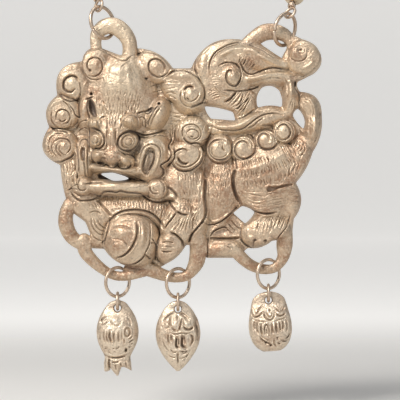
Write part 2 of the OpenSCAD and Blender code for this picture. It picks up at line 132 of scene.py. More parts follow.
# Broad raised forms: x, y, half-width, half-height, turn in degrees, top above the back,
# and how sharply the form is cut round where it stands out of what is behind it
FORMS = [
    # mane, from the left round to the right
    (95, 66, 17, 19, 0, 5.6, 1), (73, 80, 19, 21, 0, 5.2, 1), (62, 112, 19, 18, 0, 5.2, 1),
    (60, 146, 19, 18, 0, 5.2, 1), (72, 178, 14, 26, -8, 4.8, 0), (82, 206, 18, 20, -20, 4.6, 0),
    (96, 226, 14, 26, -20, 4.4, 0), (158, 66, 22, 18, 25, 5.4, 0.5),
    (184, 86, 24, 20, 20, 5.6, 0.3), (190, 98, 18, 17, 0, 6, 0), (192, 133, 17, 17, 0, 5.8, 0.3),
    (186, 156, 19, 17, 0, 5.8, 0.4), (182, 184, 24, 26, 0, 5.4, 0), (134, 212, 40, 20, 4, 5.6, 0),
    # tail plume and tail ring
    (206, 52, 16, 18, 0, 4.2, 0), (222, 72, 32, 36, 20, 5.2, 0.4), (252, 58, 50, 15, 8, 6, 0),
    (270, 78, 44, 9, 0, 5, 0), (304, 57, 21, 20, 0, 5.8, 0.3), (291, 96, 9, 22, 0, 4.8, 0),
    (238, 104, 20, 15, -20, 4.2, 0), (310, 105, 13, 15, 40, 5, 0), (312, 128, 12, 24, -6, 5, 0),
    (232, 78, 14, 15, 0, 6.4, 0),
    # belly, back and hind leg
    (222, 190, 17, 36, 6, 4.8, 0), (250, 123, 42, 9, -12, 4.6, 0),
    (269, 176, 41, 36, -6, 6.8, 0.25), (300, 160, 16, 26, 10, 5.4, 0),
    (220, 149, 14, 15, 0, 5.6, 0.6), (244, 150, 14, 14, 0, 5.6, 0.6),
    (266, 142, 13, 12, 0, 5.4, 0.6), (284, 132, 12, 12, 0, 5.2, 0.6),
    (264, 204, 28, 22, 10, 5.9, 0), (292, 204, 11, 28, 0, 5, 0), (224, 249, 20, 10, 0, 4.4, 0),
    (282, 232, 12, 12, 0, 4.6, 0), (266, 231, 27, 18, -8, 6, 0.15),
    # chest, foreleg, forepaw and ball
    (197, 215, 13, 40, 8, 5.2, 0), (196, 248, 14, 14, 0, 4.6, 0), (178, 224, 18, 28, 12, 6, 0.3),
    (131, 240, 29, 31, 0, 8.2, 0.6), (170, 247, 15, 18, 20, 6.6, 0.6),
    # head and face
    (85, 112, 8, 18, 5, 5, 0), (157, 115, 12, 20, 25, 6.4, 0), (118, 100, 40, 50, 0, 6.4, 0),
    (122, 84, 30, 34, 0, 7.6, 0), (84, 160, 11, 24, 0, 6.4, 0), (83, 186, 12, 10, 0, 6.5, 0.3),
    (151, 158, 21, 30, 8, 7.2, 0), (113, 140, 26, 34, 0, 8.6, 0), (120, 188, 44, 9, 2, 7.6, 0.3),
    (157, 189, 12, 11, 0, 6.4, 0.3), (130, 122, 13, 11, 10, 9.2, 0), (96, 124, 11, 9, 0, 8.4, 0),
    (129, 143, 12, 10, -20, 8.6, 0.2), (97, 141, 9, 10, 0, 8.3, 0.2), (118, 170, 34, 8, 6, 8.8, 0),
    (114, 155, 20, 15, 0, 10, 0), (99, 155.5, 10.5, 8, -6, 9.5, 0), (126.5, 161, 11, 9, 24, 9.7, 0),
    (114, 159, 13, 9.5, 0, 10.6, 0),
]
# Small swellings and hollows: x, y, half-width, half-height, turn, rise in millimetres
SWELLS = [
    # curl cores
    (96, 66, 7, 8, 0, 0.4), (72, 84.5, 6.5, 6, 0, 0.5), (63.5, 116, 5, 5, 0, 0.4),
    (64.5, 146.5, 5, 4.5, 0, 0.4), (156.3, 67.5, 7.5, 8, 0, 0.6), (190.5, 95, 5, 5, 0, 0.3),
    (192.5, 134, 6, 5, 0, 0.3), (184, 155, 7, 5, 0, 0.4), (217, 149.5, 6.5, 7, 0, 0.4),
    (241.5, 149.5, 6, 7, 0, 0.4), (264.5, 141, 5, 6.5, 0, 0.45), (283.5, 131.5, 5, 5.5, 0, 0.5),
    (232.5, 78, 6.5, 8, 0, 0.6), (294, 53, 6, 7, 0, 0.5), (303, 54, 4.5, 6, 0, 0.4),
    # brows, eyes and nose
    (131, 122, 7.5, 7, 0, 0.9), (142.3, 122, 5, 6.5, 10, 0.6), (104, 123.5, 6, 7, 0, 0.5),
    (129, 142.4, 8.4, 7.4, -25, 0.9), (129.8, 142.4, 2.6, 2.4, 0, 0.4), (97, 140.3, 7, 8, 0, 0.8),
    (96.8, 140.3, 2.4, 2.4, 0, 0.4), (113, 138, 4.6, 14, 0, 0.7), (100, 156, 8.5, 5.5, -8, 0.8),
    (112.5, 160, 7, 7.5, 0, 0.4), (123, 161, 8.5, 6, 32, 0.7), (118, 171, 26, 3, 7, 0.5),
    (84, 109, 5, 9.5, 0, 0.6), (115, 186.8, 31, 4.6, 1, 0.4), (84, 131, 6, 5, 0, 0.4),
    (163, 116, 7, 11, 38, 0.5), (83.5, 185.5, 4.6, 4.8, 0, 0.6), (86, 195, 11, 4, 0, 0.4),
    (155, 142, 14, 4.5, 10, 0.5), (147, 163, 3, 9, 12, 0.6),
    # hollows
    (92.8, 108.5, 3.8, 9.5, -16, -1.3), (91.8, 94.5, 1.6, 2.2, 0, -1.6),
    (146.8, 79, 2, 1.5, -15, -1), (91, 71, 1.6, 1.6, 0, -0.6), (159.2, 104.2, 2, 1.8, -30, -1.5),
    (101.5, 163.6, 4.5, 1.8, 6, -1.1), (118.6, 164, 1.6, 1.3, 0, -0.6),
    (114.8, 124, 6.5, 5, 0, -0.45), (254.5, 239.8, 2.2, 1.7, 0, -0.8),
    (265, 240.5, 2.2, 1.8, 0, -0.8), (300, 50.8, 1.9, 1.4, 0, -0.7), (294.8, 84, 1.5, 3.6, 0, -1.4),
    (151, 111, 5, 3.6, -30, -0.8), (222, 232, 11, 4, -12, -0.4), (113, 150, 4, 3, 0, -0.2),
    (140, 148, 4, 7, 20, -0.4),
    # ball, paws and limbs
    (122, 232, 11, 6, 0, 0.4), (119, 247, 12, 8, 0, 0.4), (143, 236, 6, 12, 0, 0.5),
    (168, 238, 7, 5, 0, 0.5), (167, 246, 8, 4, 0, 0.3), (250, 239, 6, 5, 0, 0.5),
    (259.5, 242, 5, 4.5, 0, 0.5), (269, 240, 5, 4.5, 0, 0.4), (181, 76.5, 17, 4.5, 3, 0.7),
    (225, 53, 12, 4, -25, 0.5), (247, 51, 16, 4.5, 6, 0.7), (268, 61, 14, 3.5, 24, 0.6),
    (202, 66, 6, 18, 6, 0.5), (264, 77, 24, 4, -6, 0.4), (313, 120, 5, 20, -4, 0.5),
    (310, 60, 7, 12, 20, 0.4), (121, 70, 12, 9, 0, 0.5),
]
# Where the metal is worn pale (above 0) or has toned to reddish brown (below 0), and where paler
# colour is a painted highlight and browner colour painted shade, as on the upper left loop, the
# ridge of the thigh, below the hip and along the lower bars
WEAR_AND_PAINTED_LIGHT = [
    (121, 76, 24, 18, 0, 1), (127, 66, 12, 10, 0, 0.5), (116, 104, 24, 12, 0, -0.3),
    (118, 150, 38, 42, 0, 0.5), (184, 112, 24, 24, 0, 1), (113, 142, 9, 22, 0, -1.3),
    (112, 158, 16, 7, 0, -0.9), (96, 66, 10, 10, 0, 0.3), (72, 84, 10, 10, 0, 0.35),
    (62, 150, 14, 12, 0, -0.3), (62, 116, 8, 8, 0, -0.4), (100, 170, 12, 6, 0, 0.3),
    (118, 187, 36, 5, 0, 0.2), (84, 190, 14, 14, 0, -0.3), (131, 203, 34, 8, 4, -0.8),
    (150, 140, 14, 9, 0, 0.5), (155, 165, 9, 16, 10, 0.35), (182, 113, 18, 14, 0, 0.2),
    (187, 160, 14, 9, 0, 0.3), (190, 182, 16, 12, 0, -0.35), (192, 205, 12, 14, 0, -0.2),
    (178, 224, 12, 14, 10, 0.45), (219, 180, 13, 26, 0, -1.2), (222, 208, 13, 12, 0, -0.9),
    (222, 150, 10, 10, 0, 0.45), (244, 150, 10, 10, 0, 0.35), (270, 144, 7, 6, 0, 0.4),
    (284, 133, 8, 8, 0, 0.3), (264, 153, 12, 5, -6, -0.9), (283, 163, 15, 8, -14, 1),
    (250, 207, 14, 7, 20, -0.8), (298, 200, 8, 16, 0, -0.8), (266, 184, 36, 26, -10, -1),
    (299, 150, 12, 24, 0, -1.1), (254, 178, 18, 10, -8, -0.8), (262, 197, 26, 8, 0, 0.3),
    (240, 190, 9, 20, 0, -0.2), (262, 232, 16, 10, -8, 0.3), (228, 226, 12, 7, 0, -0.4),
    (126, 222, 12, 6, 0, -0.4), (116, 236, 10, 16, 0, -0.4), (130, 254, 16, 8, 0, 0.4),
    (144, 240, 5, 20, 0, -0.3), (168, 246, 10, 10, 0, -0.15), (67, 226, 10, 24, 0, -1),
    (74, 241, 12, 6, 10, 0.4), (108, 270, 34, 10, 10, -1.1), (170, 275, 26, 9, 0, -1.1),
    (200, 254, 8, 24, 0, -0.9), (258, 266, 28, 10, 0, -1.1), (285, 250, 8, 20, 0, -0.9),
    (222, 58, 22, 9, -30, 0.6), (252, 50, 26, 7, 8, 0.6), (232, 68, 14, 7, 0, -0.4),
    (252, 67, 13, 6, 24, -0.6), (232, 79, 8, 8, 0, 0.4), (268, 76, 26, 5, -6, 0.5),
    (316, 62, 8, 12, 0, -0.3), (298, 70, 16, 6, -10, 0.4), (312, 118, 8, 26, 0, -0.3),
    (204, 66, 8, 22, 0, 0.3), (112, 30, 18, 10, 0, 1.5), (126, 46, 8, 14, 0, 1),
    (97, 42, 7, 14, 0, 1), (270, 34, 20, 7, 0, 0.2), (288, 44, 8, 8, 0, -0.3),
    (260, 118, 30, 6, -12, 0.6), (155, 87, 8, 7, 0, 1.1), (70, 130, 10, 5, 0, 1),
    (76, 100, 8, 6, 0, 0.6), (186, 110, 16, 4, 24, 0.9), (225, 133, 24, 4, 0, 1.2),
    (260, 129, 20, 4, -18, 1), (285, 142, 9, 4, 0, 1.2), (130, 199, 36, 4, 2, 1),
    (110, 165, 14, 3.5, 0, 0.9), (134, 156, 5, 8, 0, 0.7), (131, 127, 8, 6, 0, 0.6),
    (131, 84, 6, 14, 0, 0.7), (203, 88, 4, 11, 0, 0.8), (276, 63, 15, 5, 14, 0.8),
    (305, 48, 12, 7, 20, 0.8), (319, 116, 4, 18, 0, 0.9), (281, 34, 9, 6, 0, 0.6),
    (287, 192, 7, 12, 0, 0.6), (288, 234, 6, 12, 0, 0.9), (237, 246, 6, 6, 0, 0.9),
    (146, 236, 3, 12, 0, 0.7), (155, 265, 8, 5, 0, 0.7), (206, 228, 5, 10, 0, 0.7),
    (229, 157, 5, 5, 0, 0.9), (103, 69, 7, 13, 10, -1.2), (96, 52, 7, 8, 0, -0.5),
    (212, 143, 6, 6, 0, -0.8), (262, 134, 8, 4, 0, -0.6), (217, 168, 9, 6, 0, -0.7),
    (206, 188, 4, 16, 0, -0.8), (171, 209, 7, 7, 0, -0.8), (194, 206, 4, 7, 0, -0.7),
    (170, 173, 8, 5, 0, -0.5), (186, 90, 8, 7, 0, -0.4), (215, 245, 10, 5, 0, -0.4),
    (64, 110, 6, 6, 0, -0.5), (98, 95, 5, 8, 0, -0.5), (107, 124, 6, 6, 0, -0.5),
    (110, 150, 5, 6, 0, -0.5),
]
# Soft patches of darker recess, or cleaner where negative, in the form of the wear: above 0 patina
# with painted shade, as beside the eyes and in the ears, below 0 the recess cleared under painted
# highlights
STAINS_AND_PAINTED_SHADE = [
    (153, 106, 8, 7, 20, 0.3), (92, 106, 4, 11, -8, 0.25), (141, 141, 5, 10, 0, 0.3),
    (133, 151, 9, 4, -10, 0.22), (91, 138, 4, 12, 0, 0.25), (97, 128, 8, 4, 20, 0.2),
    (149, 162, 4.5, 11, 12, 0.22), (122, 137, 4, 9, 0, 0.15), (104, 162, 6, 3, 0, 0.2),
    (70, 130, 9, 5, 0, -0.25), (225, 133, 24, 4, 0, -0.3), (262, 128, 20, 4, -18, -0.25),
    (285, 142, 9, 4, 0, -0.35), (186, 110, 15, 4, 24, -0.25), (202, 150, 3, 9, 0, -0.25),
    (202, 170, 3, 6, 0, -0.3), (229, 157, 5, 5, 0, -0.3), (92, 176, 6, 4, 0, -0.4),
    (134, 178.5, 5, 3, 0, -0.3), (130, 199, 34, 3.5, 2, -0.2), (203, 88, 4, 11, 0, -0.25),
    (146, 236, 3, 12, 0, -0.25), (237, 246, 5, 5, 0, -0.3), (155, 265, 7, 4, 0, -0.3),
]
# Cut lines: width in cells, depth in millimetres, then points
CUTS = [
    # curls of the mane on the left
    (1.1, 0.55, 91.6, 72.4, 88.8, 69.3, 87.8, 65, 90, 60.6, 95.6, 58.4, 100.6, 60.4, 103, 65.4,
     102.6, 70.8, 99.4, 75.2, 94.4, 77.2, 89.6, 76.4),
    (1.1, 0.5, 103, 79, 97, 80.6, 90.6, 79.6, 86, 75.6, 83.2, 70, 82.6, 63, 84.5, 56, 88, 51.5),
    (1.7, 0.95, 79, 81, 77, 78, 73, 76.5, 69, 77.5, 65.5, 80.5, 64, 85, 65, 89.5, 68.5, 92,
     72.5, 92.2, 75.3, 89.5), (0.8, 0.35, 59, 91, 58.3, 84, 60, 77, 64, 70.5, 70, 66.5, 76, 66.5),
    (1.2, 0.75, 59, 94.5, 62, 97, 65, 100, 70, 101.6, 75, 101, 79, 98.5, 81, 94.5),
    (1, 0.45, 80, 82, 81, 87, 81.5, 92, 80, 96),
    (1, 0.5, 53, 111, 51.8, 116, 53, 122, 57, 127, 62, 129, 67, 128.7, 71, 126, 73, 121),
    (1, 0.55, 57, 121, 56.8, 116, 58.5, 112, 62.5, 110, 67, 111, 70, 114.5, 70.5, 119, 68, 123,
     64.5, 124), (0.9, 0.5, 60, 119.5, 62, 122, 64.5, 121.5, 67, 120),
    (0.8, 0.3, 48, 118, 47.5, 111, 49.5, 104.5, 54, 99, 60, 97),
    (1.1, 0.65, 70, 105, 74, 111, 76, 115.5, 79.5, 117.5, 81, 117),
    (1, 0.5, 63, 101, 67, 104, 71, 109, 73, 114),
    (1.2, 0.7, 51, 127, 56, 130.5, 61, 131.5, 66, 132, 70, 134),
    (1, 0.5, 56, 134, 60, 133.6, 64, 134),
    (1, 0.55, 55.5, 142, 59, 139.3, 64, 138.8, 69, 140.5, 71.5, 145, 70.5, 150, 67, 154),
    (0.9, 0.4, 49.5, 147, 50, 141, 53, 136.5, 57, 135), (0.9, 0.4, 54, 155.5, 50.5, 151, 49, 146.5),
    (0.9, 0.4, 58.5, 157.5, 54, 153, 52.3, 148, 53.5, 143.5),
    (0.9, 0.4, 62.5, 157, 58, 152.5, 57, 147.5, 58.5, 144),
    (0.9, 0.4, 60.5, 146, 60, 150, 63, 154, 66, 155.5),
    (0.8, 0.3, 45, 148, 44.5, 141, 47, 134.5, 52, 130),
    (1.2, 0.75, 53, 161, 60, 162, 65, 160.5, 71, 157.5, 75, 153),
    # panel and arcs beside the face
    (1, 0.65, 80, 101, 79.3, 106, 79.5, 113, 80, 118),
    (1, 0.65, 88.5, 100, 88, 107, 89, 114, 90, 120), (1.1, 1, 86.5, 99.5, 90, 98.5, 93, 97.5),
    (1, 0.45, 76, 129, 79, 124, 84, 121, 89, 121), (1, 0.45, 78, 133, 81, 129, 86, 128, 89, 130),
    # rim line along the top of the head
    (1.1, 0.55, 93, 49.2, 99, 49.6, 104, 52.3, 110, 55.2, 116, 58.8, 121, 61.3, 126, 61.3, 130, 58,
     135, 54.5, 142, 53, 150, 53.6, 157, 55.8, 163, 59.3, 168, 64.5, 171.5, 70),
    (0.8, 0.2, 118, 84, 123, 84.6, 128, 84.5), (0.9, 0.3, 131, 62, 126, 65, 122, 69),
    # right curls of the mane
    (1.3, 0.65, 163.9, 72.6, 165.2, 68.6, 163.8, 64.4, 160.2, 61.2, 155.2, 59.8, 150.8, 61.6,
     148.8, 65.6, 149.2, 70.4, 152, 74.6, 156.6, 77.2, 161.6, 77.4, 166.4, 74.8, 169.8, 70.6),
    (0.8, 0.35, 160.5, 62.8, 163.5, 65.5, 164.3, 69), (1.2, 0.65, 163, 79.3, 167.5, 76.3, 172, 72.6,
     177, 71, 183, 71, 188, 72.8, 193, 75.5, 197.5, 78.5, 201.5, 83.5, 204.3, 90, 204.6, 96,
     202.5, 102, 197.5, 105.8, 192, 107.8), (0.8, 0.3, 187, 70.5, 193, 73.5, 198, 78),
    (0.9, 0.3, 150, 87.5, 156, 84.5, 165, 83, 173, 83, 180, 84),
    (0.9, 0.3, 152, 93, 160, 90.5, 169, 89.5, 177, 88), (1, 0.45, 165, 93.8, 171, 92.8, 176, 95),
    (0.9, 0.4, 169, 96.3, 173, 97.6, 176.5, 99.8), (0.9, 0.4, 166, 100, 171, 101.5, 176, 104.5),
    (1.7, 0.85, 184.6, 90.5, 186.5, 88, 190, 87, 193.5, 88.5),
    (1, 0.5, 181.5, 92, 180.2, 97, 181.5, 102, 185, 106, 190, 107.5),
    (0.9, 0.45, 185.8, 93, 184.5, 97, 186.5, 100.8, 190.5, 102, 195, 100.5, 198, 97, 198.5, 93),
    (1.1, 0.7, 187, 98.8, 189.5, 100.6), (1, 0.65, 191, 107.8, 196, 105.5, 201, 103.5, 207, 102.5),
    (1, 0.55, 184.5, 139, 182.3, 135, 182.3, 130.5, 185, 126.5, 189, 125, 193.5, 125, 197.5, 127,
     200.5, 131, 201, 135, 199, 139.3, 195, 142), (0.9, 0.5, 187, 133, 189, 130.5, 192.5, 129.8,
     196.5, 131, 198.8, 134, 197.8, 137.5, 194.5, 139.3, 190.5, 139, 188, 136.5),
    (1.2, 0.6, 190.5, 136.8, 193.3, 137.3),
    (1, 0.5, 203.5, 141, 207.5, 138.5, 210.5, 133.5, 211.5, 128),
    (1.4, 0.85, 184, 138.5, 187, 142, 191, 143.8, 195, 143.3, 199.5, 144, 201, 146),
    (1.2, 0.65, 173.5, 155.5, 176, 152, 180, 149.7, 184, 149.3, 188, 151),
    (1.6, 1.1, 178, 158, 180, 161.5, 184, 163.8, 188, 163.3),
    (1.2, 0.75, 201, 146.5, 203.3, 151, 203.2, 157, 200, 163.5, 193.5, 169, 186, 171.3, 179, 170.3,
     173.5, 166, 171.5, 162),
    (1, 0.5, 198.5, 148, 200, 152.5, 198.5, 159, 193, 164.5, 186.5, 167, 180, 166.2, 176, 163),
    # eyes
    (1.5, 0.9, 119.3, 147, 118.7, 142, 121, 137, 125.5, 133.6, 131.5, 132.3, 137, 134.3,
     139.2, 138.5, 138, 144, 134.5, 148.8, 128.8, 151.3, 123.3, 150.6, 119.3, 147),
    (0.9, 0.4, 122.6, 143.5, 124, 138.6, 129, 135.8, 134.3, 137.6, 135.8, 142, 133, 147, 128, 148.8,
     124, 147, 122.6, 143.5), (0.9, 0.5, 133.2, 142.4, 131.7, 139.3, 128.7, 138.8, 126.4, 141,
     126.3, 144, 128.6, 146.1, 131.6, 145.3, 133.2, 142.4), (1.4, 0.85, 124, 133.6, 131.5, 131.2,
     138, 133.4, 144, 135.2, 151, 134.8, 158, 132.6, 165.5, 129.6),
    (1, 0.5, 139, 136.8, 145, 138, 152, 136.6, 160, 135.6, 166, 136.8),
    (1.1, 0.5, 120.5, 151, 125, 154.3, 131, 155.3, 135, 158.5, 137, 162),
    (0.8, 0.35, 134, 152.8, 138.5, 150), (0.8, 0.35, 136, 155, 141, 151.8),
    (1.5, 0.9, 91, 128.5, 96, 129, 101.5, 132.2, 105, 137, 105.6, 143.5, 102.5, 148, 98, 149,
     93.5, 148),
    (0.9, 0.45, 92, 133.5, 96.5, 132.6, 101, 135.8, 102.8, 140.5, 101, 145, 97, 147, 92.5, 146.4),
    (0.9, 0.5, 94, 137.3, 97.2, 136.8, 99.6, 139.7, 98.8, 143, 95.8, 144, 93.2, 142.5),
    (1.2, 0.75, 89.6, 122, 89.8, 130, 90.2, 138, 90.6, 147),
    # brows and right ear
    (1.1, 0.55, 123.6, 127.5, 124.6, 121, 128.5, 117, 133.5, 116.2, 137.6, 118.6, 138.8, 123,
     138, 128), (1, 0.5, 139.5, 118.6, 142.5, 117.2, 145.3, 119.6, 146.2, 124, 145.4, 128),
    (1.2, 0.7, 138, 113.8, 142, 112.4, 146, 111.6, 150, 110, 152.6, 107.6),
    (1, 0.55, 144.5, 112.5, 147.5, 114.2, 150, 113.4, 152, 110.3),
    (1.3, 0.75, 158.6, 106.5, 155.4, 110, 151.6, 116.6, 149, 121.6, 147.7, 126),
    (0.9, 0.4, 160.5, 108.8, 157, 113, 153.4, 119, 151, 125),
    (1, 0.5, 100.4, 128.6, 99.6, 122, 103, 117.6, 107, 117.3),
    (1, 0.5, 107.6, 120, 108.6, 125, 107.8, 130), (1, 0.5, 121, 119, 122.3, 124, 121.5, 129.6),
    # nose and mouth
    (0.8, 0.3, 112.2, 131, 112.4, 137, 111.6, 144, 111.6, 150),
    (1, 0.5, 108.8, 129, 107.8, 135, 107.6, 141, 107.8, 147, 105, 150.4, 100, 150.2),
    (1, 0.5, 117.2, 130, 116.6, 137, 117, 144, 119.5, 150, 124, 154, 129, 157.6),
    (1.5, 0.9, 94.5, 149.8, 92.4, 153.5, 92.8, 159, 95, 162),
    (0.9, 0.45, 96.5, 153.5, 100, 152.4, 104.5, 153.6, 108, 156.6),
    (1.4, 0.9, 95, 163.6, 99, 165.6, 104, 166.4, 107.5, 165, 111, 167.6, 115, 168.2, 118.3, 166,
     121, 168.2, 125, 169.4, 129, 168.5, 131.3, 165, 131, 160),
    (0.9, 0.5, 118.4, 165.6, 119.4, 162.3, 122, 160.6),
    (1.1, 0.5, 103, 158.6, 107, 158.8, 109.5, 161.4), (1.1, 0.55, 92, 171.7, 98, 172.3, 104, 171.6,
     112, 172.8, 121, 174.4, 131, 175.5, 137, 178.5, 143, 181, 147, 181),
    (0.9, 0.4, 130, 172.6, 136, 175.5, 141, 178), (0.9, 0.4, 131, 180.6, 138, 182.8, 146, 182.8),
    (0.8, 0.3, 139, 186.8, 144, 185.8, 149, 186), (1.5, 0.85, 97, 199, 101, 195, 105, 192,
     111, 191.3, 117, 192.3, 121, 190.8, 127, 192.3, 134, 192.8, 141, 193.5, 144, 196.5, 149, 200,
     156, 202.2, 163, 201.8, 168, 200.6, 173, 201.4, 177.5, 203.8),
    (1.2, 0.6, 84.5, 184.3, 91, 183.4, 98, 182.6, 104, 183.4),
    (1, 0.6, 81.6, 178, 79.6, 182, 79, 186, 80.5, 189.6, 84, 190.6, 87.3, 189),
    (1.3, 0.75, 71, 192.5, 75, 197, 80, 200.3, 88, 200.3, 94, 199, 98, 196),
    (1, 0.5, 68, 190.5, 73, 188.6, 79, 190), (1, 0.5, 70, 189.6, 74, 186, 79.5, 184.5),
    (1, 0.55, 78.3, 172, 77.6, 179, 77.8, 185),
    # cheeks
    (1.3, 0.5, 150, 151.5, 154, 153, 155, 157, 153.6, 162.5, 151, 167.5, 149.4, 171.5),
    (1.2, 0.5, 84.5, 160, 85.5, 167, 86, 174, 87, 177.5),
    (1.1, 0.6, 79.5, 146, 81.5, 141, 85, 139.3, 88.5, 141.5, 90, 145),
    (1.2, 0.7, 77, 145, 78.5, 155, 79.5, 165, 79.5, 173),
    (1, 0.5, 88.5, 150, 88.3, 160, 88.5, 170, 89.5, 176), (1, 0.5, 139.5, 164, 141, 156, 143.5, 149,
     148.5, 145.3, 155, 145.3, 160, 149, 161, 155, 159.5, 161),
    (1.1, 0.7, 170.5, 134, 171.8, 139, 169.2, 144, 168.6, 147.5, 171, 152, 171, 157, 167.5, 161,
     163, 164, 160.8, 166.3, 163.4, 169.5, 163.3, 174, 160.2, 177.8),
    (1.1, 0.7, 173.4, 147, 175, 153.5, 174, 159.5, 170, 164, 167, 167),
    (0.9, 0.6, 160.5, 180.5, 163.3, 184, 165, 188.5, 164, 192),
    (1.1, 0.6, 150.3, 186.5, 151, 190.5, 154, 193.6, 158.5, 193.8),
    (0.8, 0.3, 153.6, 186.8, 155, 190, 158, 191.4),
    (1.6, 0.8, 168.5, 187.5, 172, 190, 176, 194, 177.5, 198),
    # slots between beard, shoulder and ball
    (1.3, 0.8, 110.8, 218, 109.5, 225, 107.5, 233, 105.5, 240, 104.6, 246),
    (1.2, 0.8, 105, 240, 102.5, 242.5),
    # shoulder tuft
    (1, 0.4, 90.5, 212.5, 94, 211.2, 98, 211.5, 101, 213.5),
    (1, 0.4, 91.5, 217, 92, 224, 95, 230, 100, 234, 104, 235),
    (1, 0.4, 94.5, 219, 96, 225, 100, 229.5, 105, 231.5),
    (1, 0.4, 98, 219.5, 100, 224, 104, 227.5, 107, 228.5),
    (1, 0.4, 90, 229, 93, 235.5, 98, 239.5, 103, 241), (0.8, 0.35, 92.5, 204, 95, 208.5),
    (0.8, 0.35, 95, 203, 97.5, 207.5), (0.8, 0.35, 97.5, 203.5, 100.5, 208),
    (0.8, 0.3, 89, 203, 91, 207),
    # beard edge, ball and ribbon
    (1.4, 0.85, 112, 218, 116, 214.5, 122, 211.5, 130, 209.8, 138, 209.6, 146, 211, 153, 214,
     158, 218.5, 162, 224, 163.5, 229),
    (1, 0.55, 137, 214.3, 145, 216, 151.5, 219.8, 156.5, 225, 159.5, 231, 159.8, 237),
    (1.5, 0.85, 137.5, 222, 138, 230, 137, 237, 134, 244, 130, 250, 124, 255, 116, 258),
    (1, 0.55, 150.5, 222, 151, 230, 150.5, 238, 149.5, 245, 147, 250, 145, 254),
    (1, 0.6, 151.5, 237.5, 155, 242, 156.5, 247, 156, 254, 155, 260),
    (1.1, 0.65, 160.5, 232.5, 158.6, 240, 157.6, 248, 157.4, 256, 158, 261),
    (1, 0.6, 151.5, 242.5, 155, 243), (1.4, 0.85, 145.5, 254, 149, 257, 151, 258.5),
    (1.3, 0.75, 118, 261.5, 124, 264, 131, 264.3, 138, 261.5, 143, 257.5, 145.5, 253.5),
    (1.2, 0.75, 121, 265.8, 128, 268.3, 135, 269.5, 142, 269.3, 148, 266.5, 153, 262.5),
    (1.5, 0.3, 112, 228.5, 119, 226, 127, 227, 134, 230.5),
    (1.1, 0.3, 113, 238.5, 119, 238.5, 125, 241, 130, 246),
    (1, 0.25, 121, 222, 128, 220.5, 135, 221.5),
    # forepaw and foreleg
    (1.5, 0.95, 171, 232, 176, 234.5, 180.5, 238.5, 183, 243, 183.5, 248),
    (0.9, 0.45, 162.5, 242.3, 168, 241.2, 173.5, 242.3),
    (0.8, 0.35, 162, 246.6, 168, 246, 173.5, 246.8),
    (1.1, 0.55, 161.5, 250.8, 166.5, 251.4, 172, 251),
    (1.2, 0.75, 176.5, 212.5, 173, 217.5, 168.8, 222.5, 164.8, 228.5),
    (1.5, 0.95, 176.5, 211.3, 182, 214, 187.5, 214.8),
    (1.4, 0.85, 169, 200.5, 172, 206, 176, 210.5),
    # chest slot, belly and thigh edge
    (0.9, 0.3, 204.4, 163, 204.8, 171, 205, 179),
    (1.5, 1, 203, 221, 199, 226, 194.5, 231, 190.8, 236, 189.5, 241),
    (1, 0.65, 204, 222.5, 210, 224.8, 217, 223.3, 223, 220, 228, 216, 233, 211, 239, 205),
    (1, 0.65, 235, 157.5, 236, 164, 236.5, 169),
    # back
    (1.1, 0.65, 211, 126, 218, 129, 226, 130.5, 235, 130.5, 243, 128.5, 249, 124.5, 254, 120.5,
     260, 116.5, 267, 114, 275, 113.5, 283, 115),
    (1, 0.55, 236, 119.5, 243, 117.5, 249, 113.5, 254, 109.5),
    (1, 0.5, 247, 128.5, 253, 126, 258, 121.5, 263, 118.3), (1.4, 0.68, 225, 141.5, 219, 140,
     213.5, 141.5, 209.5, 145.5, 208.5, 150.5, 210.5, 155.5, 214.5, 159, 220, 160, 226, 158.5,
     230, 155, 231.8, 150, 231.3, 144.5, 229, 140),
    (0.9, 0.45, 211.5, 147.5, 211.3, 152.5, 214, 156.3, 219, 157.7, 224.5, 156.5, 228, 152.5),
    (1, 0.55, 224.5, 151, 222.3, 148.8, 222.5, 146), (1.4, 0.7, 248.5, 147, 247, 143.5,
     243.5, 141.5, 239.5, 142, 236, 145, 234.6, 150, 236, 155, 240, 158.3, 245.5, 159, 250.5, 157,
     254.5, 153, 256, 149.5),
    (0.9, 0.45, 238, 139.2, 244, 138.2, 249.5, 140.5, 252.3, 144.5, 251.8, 148.5),
    (1, 0.5, 246, 134.5, 250, 134.5, 254, 138.5, 255.5, 142),
    (1.5, 0.75, 268.7, 139.5, 267.8, 136, 265, 133.8, 261.3, 134.2, 258.6, 137.5, 258, 142,
     259.8, 146.5, 263.5, 149.3, 268, 149.8, 273, 148.3, 276.5, 144.5),
    (1, 0.5, 266, 131.5, 271, 134, 274.5, 138.5, 275, 143),
    (1.5, 0.75, 263.5, 125.8, 268, 125.5, 272, 125.7), (1, 0.5, 272, 127, 275, 131, 276, 136),
    (1.4, 0.75, 276.7, 133, 277, 129, 279.5, 125.8, 283, 124.5, 286.5, 126, 289, 129.5,
     289.8, 133.5, 288, 137.5, 284, 140, 280, 139.5, 277.5, 137),
    (1, 0.5, 275.5, 129, 278, 124.5, 283, 121.8, 288, 123, 292, 127, 293, 132.5, 291.5, 138),
    (1, 0.5, 291, 119.5, 296, 121.5, 299.5, 125.5, 303, 131.5),
    # thigh, hind foot and the ground below the belly
    (1.4, 0.85, 242, 206, 249, 209, 254, 211, 261, 213, 268, 213.5, 276, 212),
    (1.3, 0.85, 241, 227.5, 240.5, 234, 242, 240, 246, 244.5, 251, 247),
    (1, 0.55, 253.5, 240.5, 253.2, 244, 252.5, 247), (1, 0.5, 264.5, 242, 265.5, 246),
    (1, 0.55, 290, 214, 288, 221, 286, 227, 281, 233, 277, 238, 275.5, 241),
    (1, 0.65, 210.5, 236.5, 213, 232, 218, 229, 223, 227.3, 227.5, 227.8),
    (0.9, 0.45, 228, 223, 232, 228, 236, 231), (0.9, 0.45, 231, 220.5, 236, 226, 240, 229),
    (0.8, 0.4, 224, 226, 229, 231, 233, 234),
